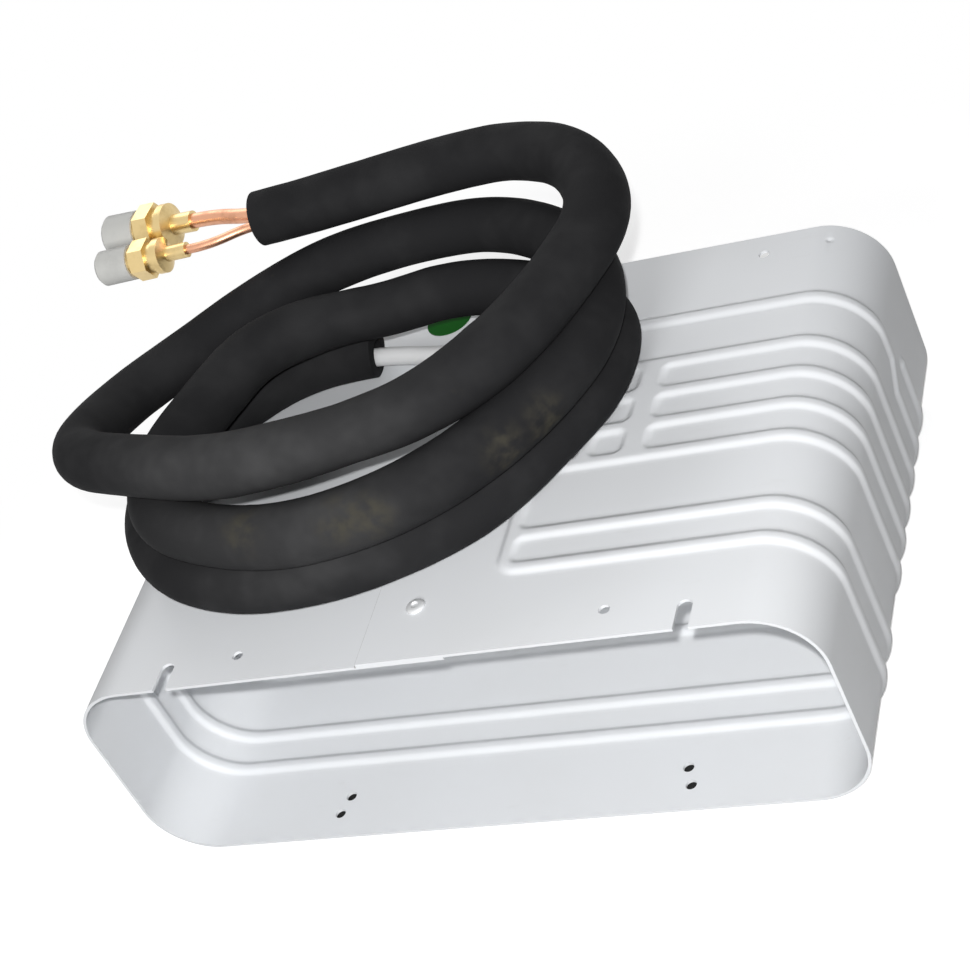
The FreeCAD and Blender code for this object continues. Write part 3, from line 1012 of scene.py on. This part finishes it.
    def _grid(self, low: float, high: float, wanted: Iterable[float], coarse: float) -> list[float]:
        """Ordered grid lines along one direction.

        Args:
            low: First line.
            high: Last line.
            wanted: Lines that the shape needs.
            coarse: Widest gap.

        Returns:
            The lines, without those that would lie too close to another.
        """
        result = [low]
        for line in [*sorted(line for line in wanted if low < line < high), high]:
            gap = line - result[-1]
            if gap < self.least_gap:
                continue
            extra = int(gap / coarse)
            result += [result[-1] + gap * i / (extra + 1) for i in range(1, extra + 1)]
            result.append(line)
        result[-1] = high
        return result

    @staticmethod
    def _stretch(start: float, end: float, step: float) -> list[float]:
        """Even lines from start to end, about a step apart."""
        count = max(1, round((end - start) / step))
        return [start + (end - start) * i / count for i in range(count + 1)]

    def _grid_lines(self) -> tuple[list[float], list[float]]:
        """Lines along and across the sheet, closer where channels, bends and dimples come.

        Returns:
            The places of the lines along the sheet, and of those across it.
        """
        at, c = self.starts(), self.channels
        edge = c.base_half + self.margin
        wall, far_wall = at["right_wall"], at["left_wall"]
        wide = self.wide_header()
        along = c.grid_lines([*self.headers()[:-1], wide[0], wide[-1]])
        for start, end in (
            (c.port_start - edge, c.port_start + edge),
            (wall + c.jog[0] - edge, wall + c.rear_start + edge),
            (far_wall + c.hairpin - edge, far_wall + c.hairpin + self.hairpin_edges * edge),
        ):
            along += self._stretch(start, end, self.fine_step)
        along += c.grid_lines([far_wall + c.manifold])
        for name, _, is_bend in self.panels():
            along += self._stretch(at[name], at[name] + self.arc, self.bend_step) if is_bend else []
        across = c.grid_lines(c.rows())
        for x, y in self.dimple_points():
            along += self._stretch(x - self.dimple_radius, x + self.dimple_radius, self.dimple_step)
            across += self._stretch(y - self.dimple_radius, y + self.dimple_radius, self.dimple_step)
        half, widest = self.depth / 2, self.widest_gaps
        return self._grid(0.0, at["end"], along, widest[0]), self._grid(-half, half, across, widest[1])

    def blank(self) -> bpy.types.Object:
        """The flat sheet as a closed slab: both faces and the rim.

        Returns:
            The slab.
        """
        s_lines, y_lines = self._grid_lines()
        rows, columns = len(s_lines), len(y_lines)
        points = [(s, y, z) for z in (0.0, -self.sheet) for s in s_lines for y in y_lines]
        under = rows * columns
        faces = []
        for i in range(rows - 1):
            for j in range(columns - 1):
                a = i * columns + j
                faces.append((a, a + columns, a + columns + 1, a + 1))
                faces.append((under + a, under + a + 1, under + a + columns + 1, under + a + columns))
        rim = [i * columns for i in range(rows)]
        rim += [(rows - 1) * columns + j for j in range(1, columns)]
        rim += [i * columns + columns - 1 for i in range(rows - 2, -1, -1)]
        rim += list(range(columns - 2, 0, -1))
        for a, b in zip(rim, rim[1:] + rim[:1]):
            faces.append((a, under + a, under + b, b))
        return mesh_object("evaporator_sheet", points, faces)

    def hole_points(self) -> bpy.types.Object:
        """Centres of the round holes, as loose points.

        Returns:
            The points.
        """
        places = []
        for x, y, in_top in self.holes:
            height = self.top if in_top else self.channels.relief
            places += [(side * x * MM, y * MM, height) for side in (-1, 1)]
        return mesh_object("hole_points", places, [])

    def _slot_cutter(self, side: int) -> bpy.types.Object:
        """Long body with a round end that cuts one open slot.

        Args:
            side: -1 for the left slot, 1 for the right one.

        Returns:
            The closed body.
        """
        centre, half, reach = self.slot
        centre, front = side * centre, -self.depth / 2
        outline = [(centre - half, front - self.slot_lead), (centre + half, front - self.slot_lead)]
        middle = front + reach - half
        angles = [math.pi * step / self.turn_steps for step in range(self.turn_steps + 1)]
        outline += [(centre + half * math.cos(a), middle + half * math.sin(a)) for a in angles]
        count = len(outline)
        below, above = self.slot_span
        points = [(x, y, z) for z in (self.top - below, self.top + above) for x, y in outline]
        faces = [(i, (i + 1) % count, count + (i + 1) % count, count + i) for i in range(count)]
        faces += [tuple(range(count))[::-1], tuple(range(count, 2 * count))]
        return mesh_object(f"slot_cutter_{side}", points, faces)

    def fold_tree(self) -> bpy.types.NodeTree:
        """Node tree that raises the channels, folds the sheet and cuts the holes.

        Returns:
            The tree.
        """
        graph = ShapeGraph("fold_sheet", {
            "Channels": "NodeSocketObject",
            "Dimples": "NodeSocketObject",
            "Holes": "NodeSocketObject",
            "Slot Left": "NodeSocketObject",
            "Slot Right": "NodeSocketObject",
            "Relief": "NodeSocketFloat",
            "Base Half": "NodeSocketFloat",
            "Crest Half": "NodeSocketFloat",
            "Dimple Radius": "NodeSocketFloat",
            "Dimple Depth": "NodeSocketFloat",
            "Hole Radius": "NodeSocketFloat",
            "Material": "NodeSocketMaterial",
        })
        along, across, level = graph.parts(graph.wire("GeometryNodeInputPosition"))
        place = self._folded(graph, along, across, self._raised(graph, along, across, level))
        sockets = {"Geometry": graph.given("Geometry"), "Position": place}
        folded = graph.wire("GeometryNodeSetPosition", {}, sockets)
        slots = [graph.geometry_of("Slot Left"), graph.geometry_of("Slot Right")]
        cutters = [self._hole_cutters(graph), *slots]
        difference = {"operation": "DIFFERENCE", "solver": "EXACT"}
        cut = graph.wire("GeometryNodeMeshBoolean", difference, {"Mesh 1": folded, "Mesh 2": cutters})
        graph.end(cut)
        return graph.tree

    def _raised(self, graph: ShapeGraph, along: Wire, across: Wire, level: Wire) -> Wire:
        """Raises the channels on both faces, but not inside the lap, and sinks the dimples.

        Args:
            graph: The node tree.
            along: Place along the unrolled sheet.
            across: Place across it.
            level: Height of the flat sheet's point over its outer face.

        Returns:
            The height over the outer face.
        """
        flat = graph.combine(along, across, 0.0)
        distance = self._distance(graph, "Channels", "EDGES", flat)
        base, crest = graph.given("Base Half"), graph.given("Crest Half")
        reached = ((base - distance) / (base - crest)).clamp(0.0, 1.0)
        height = reached * reached * (3.0 - reached * 2.0) * graph.given("Relief")
        lap = self.lap_right - self.lap_left
        outside = level.math("GREATER_THAN", -self.sheet / 2)
        inside = (1.0 - outside) * along.smooth(lap + self.lap_fade[0], lap + self.lap_fade[1])
        away = self._distance(graph, "Dimples", "POINTS", flat) / graph.given("Dimple Radius")
        dent = away.smooth(1.0, 0.0) * graph.given("Dimple Depth")
        return level + height * outside - height * inside - dent

    def _distance(self, graph: ShapeGraph, name: str, element: str, place: Wire) -> Wire:
        """Distance from a place to the nearest edge or point of the map that an input names."""
        sockets = {0: graph.geometry_of(name), "Source Position": place}
        return graph.wire("GeometryNodeProximity", {"target_element": element}, sockets, "Distance")

    def _folded(self, graph: ShapeGraph, along: Wire, across: Wire, raised: Wire) -> Wire:
        """Bends the sheet, followed clockwise from the upper sheet's edge.

        Args:
            graph: The node tree.
            along: Place along the unrolled sheet.
            across: Place across it.
            raised: Height over the outer face.

        Returns:
            The place in the folded box.
        """
        x: Wire | Number = self.lap_left
        z: Wire | Number = self.top
        turned: Wire | Number = 0.0
        quarter, start = 0, 0.0
        headings = [(1, 0), (0, -1), (-1, 0), (0, 1)]
        for _, length, is_bend in self.panels():
            reached = (along - start).clamp(0.0, length)
            before, after = headings[quarter % 4], headings[(quarter + 1) % 4]
            if is_bend:
                angle = reached / self.bend_radius
                ahead = angle.math("SINE") * self.bend_radius
                aside = (1.0 - angle.math("COSINE")) * self.bend_radius
                x = ahead * before[0] + aside * after[0] + x
                z = ahead * before[1] + aside * after[1] + z
                turned = angle + turned
                quarter += 1
            else:
                x = reached * before[0] + x
                z = reached * before[1] + z
            start += length
        x = x + turned.math("SINE") * raised
        z = z + turned.math("COSINE") * raised
        return graph.combine(x, across, z)

    def _hole_cutters(self, graph: ShapeGraph) -> Wire:
        """Sets a drill on every hole point.

        Args:
            graph: The node tree.

        Returns:
            The drills.
        """
        radius, length = graph.given("Hole Radius"), self.drill_length
        drill = {"Vertices": self.drill_sides, "Radius": radius, "Depth": length}
        cylinder = graph.wire("GeometryNodeMeshCylinder", {}, drill, "Mesh")
        sockets = {"Points": graph.geometry_of("Holes"), "Instance": cylinder}
        placed = graph.wire("GeometryNodeInstanceOnPoints", {}, sockets)
        return graph.wire("GeometryNodeRealizeInstances", {}, {"Geometry": placed})

    def build(self) -> None:
        """Makes the folded plate and puts it in the place of its solid."""
        helpers = {
            "Channels": self.channel_map(),
            "Dimples": mesh_object("dimple_points", [(x, y, 0.0) for x, y in self.dimple_points()], []),
            "Holes": self.hole_points(),
            "Slot Left": self._slot_cutter(-1),
            "Slot Right": self._slot_cutter(1),
        }
        plate = self.blank()
        baked(plate, self.fold_tree(), {
            **helpers,
            "Dimple Radius": self.dimple_radius,
            "Dimple Depth": self.dimple_depth,
            "Relief": self.channels.relief,
            "Base Half": self.channels.base_half,
            "Crest Half": self.channels.crest_half,
            "Hole Radius": self.hole_radius,
        })
        for helper in helpers.values():
            bpy.data.objects.remove(helper)
        shade(plate, sharp_over=50.0)
        install(plate, Finishes.COATED_SHEET, ["evaporator_plate"])


@dataclass
class PortSocket:
    """The swelling of the port channel that takes the tube, in millimetres."""

    mouth: Point = (-25.0, 77.3, 120.85)
    grip: float = 12.0
    taper: float = 21.0
    drop: float = 4.0
    radius: float = 5.95
    bore: float = 4.8
    narrow: float = 2.3
    lip: float = 0.5
    lip_steps: int = 4
    taper_steps: int = 12
    sides: int = 40

    def outline(self) -> list[tuple[float, float, float]]:
        """Rings of the socket.

        Returns:
            Distance from the mouth, drop and radius of each ring, from inside the bore to the thin end.
        """
        lip = []
        for step in range(self.lip_steps + 1):
            angle = math.pi / 2 * step / self.lip_steps
            radius = self.radius - self.lip * (1 - math.cos(angle))
            lip.append((self.lip * (1 - math.sin(angle)), 0.0, radius))
        rings = [(self.grip, 0.0, self.bore), (0.0, 0.0, self.bore), *sorted(lip)]
        for step in range(self.taper_steps + 1):
            part = step / self.taper_steps
            eased = part * part * (3 - 2 * part)
            radius = self.radius + (self.narrow - self.radius) * eased
            rings.append((self.grip + self.taper * part, self.drop * eased, radius))
        return rings

    def build(self) -> None:
        """Sweeps the socket along its axis."""
        x, y, z = self.mouth
        rings = [[Vector((x + distance, y + radius * math.cos(a), z - drop + radius * math.sin(a))) * MM
                  for a in circle(self.sides)] for distance, drop, radius in self.outline()]
        socket = swept("port_socket", rings)
        shade(socket, sharp_over=40.0)
        install(socket, Finishes.COATED_SHEET)


@dataclass
class PortTube:
    """The coated tube that leaves the socket, lies on the sheet and goes low into the foam.

    Its route is in millimetres.
    """

    route: tuple[Point, ...] = (
        (-12.0, 77.3, 120.85),
        (-22.0, 77.3, 120.85),
        (-36.0, 77.3, 121.0),
        (-52.0, 78.4, 123.4),
        (-66.0, 79.0, 125.4),
        (-80.0, 79.0, 126.0),
        (-88.0, 79.0, 126.2),
    )
    radius: float = 4.75 * MM
    bore: float = 3.75 * MM
    blind: int = 6
    sides: int = 36

    def build(self) -> None:
        """Sweeps the tube along its route, with a hollow at both ends."""
        frames = line_frames(spline_line("tube_route", [Vector(point) * MM for point in self.route]))
        outer = [round_ring(*frame_at, self.radius, self.sides) for frame_at in frames]
        depths = (self.blind, 0, -1, -self.blind)
        inner = [round_ring(*frames[place], self.bore, self.sides) for place in depths]
        tube = swept("port_tube_skin", [*inner[:2], *outer, *inner[2:]])
        shade(tube, sharp_over=40.0)
        install(tube, Finishes.COATED_TUBE, ["port_tube"])


@dataclass
class LapRivets:
    """Rivets along the lap, with domed and dished heads, in millimetres."""

    head: float = 4.7
    edge: float = 0.15
    under_edge: float = 0.2
    rise: float = 1.6
    dish: float = 1.9
    dish_corners: tuple[FlatPoint, ...] = ((0.0, 0.0), (0.5, 0.35), (0.75, 0.9))  # down and inwards
    dish_depth: float = 0.8
    shank: FlatPoint = (2.1, 3.0)  # radius and length
    dome_steps: int = 9
    sides: int = 40
    seat_drop: float = 1.7
    end_inset: float = 4.8

    def places(self) -> list[Vector]:
        """Seats of the rivets' heads on the upper sheet.

        Returns:
            A place for each rivet.
        """
        low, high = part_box("lap_rivets")
        inset = self.end_inset * MM
        x, seat = (low.x + high.x) / 2, high.z - self.seat_drop * MM
        return [Vector((x, y, seat)) for y in (low.y + inset, 0.0, high.y - inset)]

    def one(self) -> bpy.types.Object:
        """One rivet, with its seat at the origin.

        Returns:
            The rivet.
        """
        shank, depth = self.shank
        outline = [(-depth, 0.0), (-depth, shank), (0.0, shank), (0.0, self.head - self.under_edge)]
        outline.append((self.edge, self.head))
        for step in range(1, self.dome_steps):
            angle = math.pi / 2 * step / self.dome_steps
            radius = self.dish + (self.head - self.dish) * math.cos(angle)
            outline.append((self.edge + (self.rise - self.edge) * math.sin(angle), radius))
        outline += [(self.rise - down, self.dish - inward) for down, inward in self.dish_corners]
        outline.append((self.rise - self.dish_depth, 0.0))
        outline = [(height * MM, radius * MM) for height, radius in outline]
        return lathe("lap_rivet_model", outline, self.sides)

    def build(self) -> None:
        """Sets a rivet on each place."""
        graph = ShapeGraph("set_rivets", {"Rivet": "NodeSocketObject", "Material": "NodeSocketMaterial"})
        placed = {"Points": graph.given("Geometry"), "Instance": graph.geometry_of("Rivet")}
        graph.end(graph.wire("GeometryNodeInstanceOnPoints", {}, placed))
        model = self.one()
        rivets = mesh_object("lap_rivet_heads", self.places(), [])
        baked(rivets, graph.tree, {"Rivet": model})
        bpy.data.objects.remove(model)
        shade(rivets)
        install(rivets, Finishes.RIVET, ["lap_rivets"])


@dataclass(frozen=True)
class Turn:
    """One loose turn, every sixteenth of it.

    Its distances from the coil's middle and its heights are in millimetres, and its fullness is
    the foam's width there as a share of the usual one.
    """

    reaches: tuple[float, ...]
    heights: tuple[float, ...]
    fullness: tuple[float, ...]


@dataclass
class FoamLine:
    """The foam covered line: a short lead, three loose turns that climb on each other, and the far end.

    The places of the lead, the turns and the tail are in millimetres.
    """

    radius: float = 14.5 * MM
    ceiling: float = 206.3 * MM
    bore: float = 7.2 * MM
    bore_reach: float = 26.0 * MM
    rim: float = 0.8 * MM
    rim_rise: float = 0.4
    bore_drop: float = 3.0 * MM
    mouth_slant: float = 6.5 * MM
    slant_run: float = 34.0 * MM
    slant_side: Point = (0.0, 0.30, -0.95)
    waviness: FlatPoint = (34.0, 110.0)  # waves per metre
    unevenness: float = 0.014
    sides: int = 48
    steps_per_turn: int = 16
    first_step: int = 4
    middle: FlatPoint = (-50.0, 20.0)
    lead: tuple[Point, ...] = (
        (-66.0, 79.0, 130.9),
        (-92.0, 79.0, 130.9),
        (-117.0, 72.5, 130.9),
        (-139.0, 56.0, 130.9),
    )
    tail: tuple[Point, ...] = (
        (16.0, 144.3, 189.6),
        (-14.0, 144.3, 189.6),
        (-44.0, 140.0, 190.2),
        (-74.0, 133.5, 191.0),
        (-104.0, 128.5, 191.6),
        (-124.0, 126.5, 191.9),
    )
    turns: tuple[Turn, ...] = (
        Turn(
            (115, 126.5, 125.5, 116.5, 107.5, 104, 106, 107.5, 121, 126.5, 106, 82, 57.5, 53, 58.5, 70.5),
            (132.6, 132.6, 133.1, 133.1, 133.4, 133.6, 133.6, 135.1,
             134.6, 134.1, 137.6, 148.1, 155.1, 161.1, 164.1, 165.6),
            (0.98, 0.98, 0.99, 1, 1, 1, 1, 0.99, 0.99, 0.99, 0.98, 0.97, 0.95, 0.94, 1.01, 1.02),
        ),
        Turn(
            (81.5, 103.5, 118, 113, 113, 111.5, 112, 117, 125.5, 127.5, 121.5, 117, 108, 106, 109, 119),
            (161.1, 160.1, 160.6, 162.1, 163.1, 162.6, 162.1, 163.1,
             162.6, 163.1, 162.1, 161.1, 161.1, 162.6, 161.1, 160.1),
            (1.04, 1.02, 1.01, 1.01, 1.05, 1.06, 1.06, 1.04, 1.03, 1.02, 1.0, 0.96, 0.94, 0.98, 0.97, 0.94),
        ),
        Turn(
            (137, 143, 112.5, 96, 86, 84.5, 94.5, 106.5, 119, 143.5, 149),
            (166.6, 181.6, 191.1, 189.1, 189.1, 188.1, 188.1, 190.6, 191.1, 191.1, 190.6),
            (0.95, 1.0, 1.02, 1.05, 1.03, 0.97, 1.03, 1.12, 1.12, 1.12, 1.07),
        ),
    )

    def route(self) -> list[Vector]:
        """Puts the lead, the turns and the tail together.

        Returns:
            Control points of the whole line, in metres.
        """
        points = [Vector(point) for point in self.lead]
        places = [place for turn in self.turns for place in zip(turn.reaches, turn.heights)]
        for step, (reach, height) in enumerate(places, self.first_step):
            angle = math.pi / 2 + math.tau * step / self.steps_per_turn
            x = self.middle[0] + reach * math.cos(angle)
            y = self.middle[1] + reach * math.sin(angle)
            points.append(Vector((x, y, height)))
        points += [Vector(point) for point in self.tail]
        return [point * MM for point in points]

    def fullness_along(self, count: int) -> list[float]:
        """Spreads the turns' fullness over the line.

        Args:
            count: Number of even points along the line.

        Returns:
            Share of the usual width at each point.
        """
        shares = [1.0] * len(self.lead)
        shares += [share for turn in self.turns for share in turn.fullness]
        shares += [1.0] * len(self.tail)
        found = []
        for i in range(count):
            reached = i / (count - 1) * (len(shares) - 2) + 0.5
            whole = int(reached)
            found.append(shares[whole] + (shares[whole + 1] - shares[whole]) * (reached - whole))
        return found

    def skin_offset(self, place: Vector, out: Vector, share: float) -> Vector:
        """Offset of the skin from the line: slightly uneven, and wider only sideways where it is full.

        Args:
            place: The place on an even skin.
            out: Direction away from the line.
            share: Share of the usual width.

        Returns:
            The offset.
        """
        uneven = sum(0.5 * noise.noise(place * scale) for scale in self.waviness)
        reach = out * (self.radius * (1.0 - self.unevenness * (0.5 + uneven)))
        most = (self.ceiling - (place.z - out.z * self.radius)) / self.radius
        return Vector((reach.x * share, reach.y * share, reach.z * min(share, most)))

    def slanted(self, rings: list[list[Vector]], centres: list[Vector], ahead: Vector) -> None:
        """Slants the cut end: the foam on one side is cut back, and the rings behind it follow.

        Args:
            rings: The skin's rings from the cut end on, which are changed.
            centres: Their middles.
            ahead: Direction into the foam.
        """
        side = Vector(self.slant_side)
        for ring, centre in zip(rings, centres):
            left = 1.0 - (centre - centres[0]).length / self.slant_run
            if left <= 0.0:
                return
            for i, point in enumerate(ring):
                facing = 0.5 + 0.5 * (point - centre).dot(side) / self.radius
                ring[i] = point + ahead * (self.mouth_slant * left * left * max(0.0, facing))

    def cut_end(self, skin: list[Vector], centre: Vector, inward: Vector, drop: float) -> list[list[Vector]]:
        """Turns the skin in over a soft rim to the bore, and down the bore.

        Args:
            skin: The skin's last ring.
            centre: Its middle.
            inward: Direction into the foam.
            drop: How far the bore lies below the middle.

        Returns:
            The rings after the skin's.
        """
        narrow = 1 - self.rim / self.radius
        rim = [centre + (point - centre) * narrow - inward * self.rim * self.rim_rise for point in skin]
        low = centre - Vector((0, 0, drop))
        lip = [low + (point - centre) * (self.bore / self.radius) for point in skin]
        return [rim, lip, [point + inward * self.bore_reach for point in lip]]

    def build(self) -> None:
        line = spline_line("line_route", self.route())
        rings = []
        for (place, side, across), share in zip(line_frames(line), self.fullness_along(len(line))):
            outs = [side * math.cos(angle) + across * math.sin(angle) for angle in circle(self.sides)]
            rings.append([place + self.skin_offset(place + out * self.radius, out, share) for out in outs])
        first, last = (line[1] - line[0]).normalized(), (line[-2] - line[-1]).normalized()
        near = self.cut_end(rings[0], line[0], first, self.bore_drop)
        far = self.cut_end(rings[-1], line[-1], last, 0.0)
        self.slanted(near[:2] + rings, [line[0]] * 2 + line, first)
        cover = swept("foam_cover", near[::-1] + rings + far)
        shade(cover, sharp_over=50.0)
        length = sum((b - a).length for a, b in zip(line, line[1:]))
        LOG.info("foam covered line: %.3f m", length)
        install(cover, Finishes.FOAM, ["foam_line_near", "foam_line_coil", "foam_line_tail"])
        tuple(line[0])
        [tuple(point) for point in line]


@dataclass
class CarriedPieces:
    """Pieces whose solids are shown as they are, with their own finishes."""

    finishes: dict[str, Finishes] = field(default_factory=lambda: {
        "capillary_tube": Finishes.COPPER,
        "round_label": Finishes.LABEL,
        "suction_line_end": Finishes.COPPER,
        "liquid_line_end": Finishes.COPPER,
        "suction_coupling": Finishes.BRASS,
        "liquid_coupling": Finishes.BRASS,
        "suction_dust_cap": Finishes.CAP,
        "liquid_dust_cap": Finishes.CAP,
    })

    def build(self) -> None:
        """Dresses each piece."""
        for name, finish in self.finishes.items():
            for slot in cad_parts[name].material_slots:
                slot.material = finish.material()
            LOG.info("%s: %s", name, finish.value.name)


@dataclass
class Studio:
    """Floor, lamps, world and camera."""

    camera_place: Point = (0.463584, -0.757465, 0.742572)
    camera_turn: Point = (50.494935, 22.557662, 14.039312)
    focal_pixels: float = 2276.44
    picture_pixels: float = 971.0
    sensor: float = 36.0
    nearest: float = 0.01
    lamp_target: Point = (0.0, 0.0, 0.1)
    lamp_offset: Point = (0.008, -0.019, 0.064)
    lamp_size: float = 0.016
    lamp_power: float = 11.2
    front_place: Point = (0.08, -1.35, 0.80)
    front_size: float = 0.5
    front_power: float = 11.0
    rear_place: Point = (-0.55, 0.95, 0.95)
    rear_size: float = 0.9
    rear_power: float = 4.5
    fill: float = 0.06
    floor_half: float = 6.0
    floor_roughness: float = 0.9
    floor_colour: float = 0.86
    floor_bounce: float = 0.17
    floor_glow: float = 0.50
    floor_open: FlatPoint = (0.27, 0.46)  # from here to there the floor turns white
    painted_shadow: FlatPoint = (0.140, 0.126)  # half size of the painted shadow, a dark patch of floor under the object
    painted_shadow_colour: float = 0.01

    def build(self) -> None:
        """Makes the stage."""
        self._camera()
        self._floor()
        flash_place = tuple(place + offset for place, offset in zip(self.camera_place, self.lamp_offset))
        self._lamp("flash_lamp", flash_place, self.lamp_size, self.lamp_power)
        self._lamp("front_lamp", self.front_place, self.front_size, self.front_power)
        self._lamp("rear_lamp", self.rear_place, self.rear_size, self.rear_power)
        self._world()

    def _camera(self) -> None:
        """The photograph's camera."""
        data = bpy.data.cameras.new("camera")
        data.sensor_width = self.sensor
        data.lens = self.focal_pixels / self.picture_pixels * self.sensor
        data.clip_start = self.nearest
        camera = link(bpy.data.objects.new("camera", data))
        camera.location = self.camera_place
        camera.rotation_euler = Euler([math.radians(angle) for angle in self.camera_turn], "XYZ")
        bpy.context.scene.camera = camera

    def _lamp(self, name: str, place: Point, size: float, power: float) -> None:
        """Sets up a soft square lamp that faces the object.

        Args:
            name: Its name.
            place: Where it stands.
            size: Length of its sides.
            power: Its power in watts.
        """
        data = bpy.data.lights.new(name, "AREA")
        data.size = size
        data.energy = power
        lamp = link(bpy.data.objects.new(name, data))
        lamp.location = place
        away = Vector(place) - Vector(self.lamp_target)
        lamp.rotation_euler = away.to_track_quat("Z", "Y").to_euler()

    @staticmethod
    def _seen(graph: Graph) -> Wire:
        """Tells rays that show a background: from the camera, mirrored or let through.

        Args:
            graph: The tree that asks.

        Returns:
            1 for such rays and 0 for others.
        """
        rays = graph.node("ShaderNodeLightPath")
        camera, glossy, through = (Wire(graph, rays.outputs[f"Is {kind} Ray"])
                                   for kind in ("Camera", "Glossy", "Transmission"))
        return camera.math("MAXIMUM", glossy).math("MAXIMUM", through)

    def _floor(self) -> None:
        """Wide pale floor: it keeps the object's shadow, is white further out and has a painted shadow, dark
        and without glow, under the object.
        """
        half = self.floor_half
        corners = [(-half, -half, 0), (half, -half, 0), (half, half, 0), (-half, half, 0)]
        floor = mesh_object("floor", corners, [(0, 1, 2, 3)])
        material = bpy.data.materials.new("pale_floor")
        graph = ShaderGraph(material)
        x, y, _ = graph.parts(graph.place)
        # painted shadow: under the object the floor is dark and does not glow
        under = x.math("ABSOLUTE").math("LESS_THAN", self.painted_shadow[0])
        outside_painted_shadow = 1.0 - under * y.math("ABSOLUTE").math("LESS_THAN", self.painted_shadow[1])
        seen = self._seen(graph)
        shown = graph.mix(outside_painted_shadow, (self.painted_shadow_colour,) * 3, (self.floor_colour,) * 3)
        graph.finish(
            base_color=graph.mix(seen, (self.floor_bounce,) * 3, shown),
            roughness=self.floor_roughness,
            emission_color=graph.mix(seen * outside_painted_shadow, BLACK, WHITE),
            emission_strength=self.floor_glow,
        )
        away = (x * x + y * y).math("SQRT").smooth(*self.floor_open)
        white = graph.wire("ShaderNodeEmission", {}, {"Color": (*WHITE, 1.0), "Strength": 1.0})
        blend = graph.node("ShaderNodeMixShader", {}, {0: seen * away, 2: white})
        graph.tree.links.new(graph.surface.outputs[0], blend.inputs[1])
        graph.tree.links.new(blend.outputs[0], graph.output.inputs["Surface"])
        floor.data.materials.append(material)

    def _world(self) -> None:
        """Even surroundings: a weak fill on the object that shows as plain white."""
        world = bpy.data.worlds.new("studio")
        world.use_nodes = True
        graph = Graph(world.node_tree)
        strength = self._seen(graph) * (1.0 - self.fill) + self.fill
        sky = graph.node("ShaderNodeBackground", {}, {"Color": (*WHITE, 1.0), "Strength": strength})
        output = graph.node("ShaderNodeOutputWorld")
        graph.tree.links.new(sky.outputs[0], output.inputs[0])
        bpy.context.scene.world = world
        bpy.context.scene.view_settings.view_transform = "Standard"


def main() -> None:
    """Builds the scene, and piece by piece."""
    logging.basicConfig(level=logging.INFO, format="%(name)s: %(message)s")
    for kind in (Studio, FoamLine, EvaporatorPlate, PortSocket, PortTube, LapRivets, CarriedPieces):
        LOG.info("building %s", kind.__name__)
        kind().build()
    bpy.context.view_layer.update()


if __name__ == "__main__":
    main()
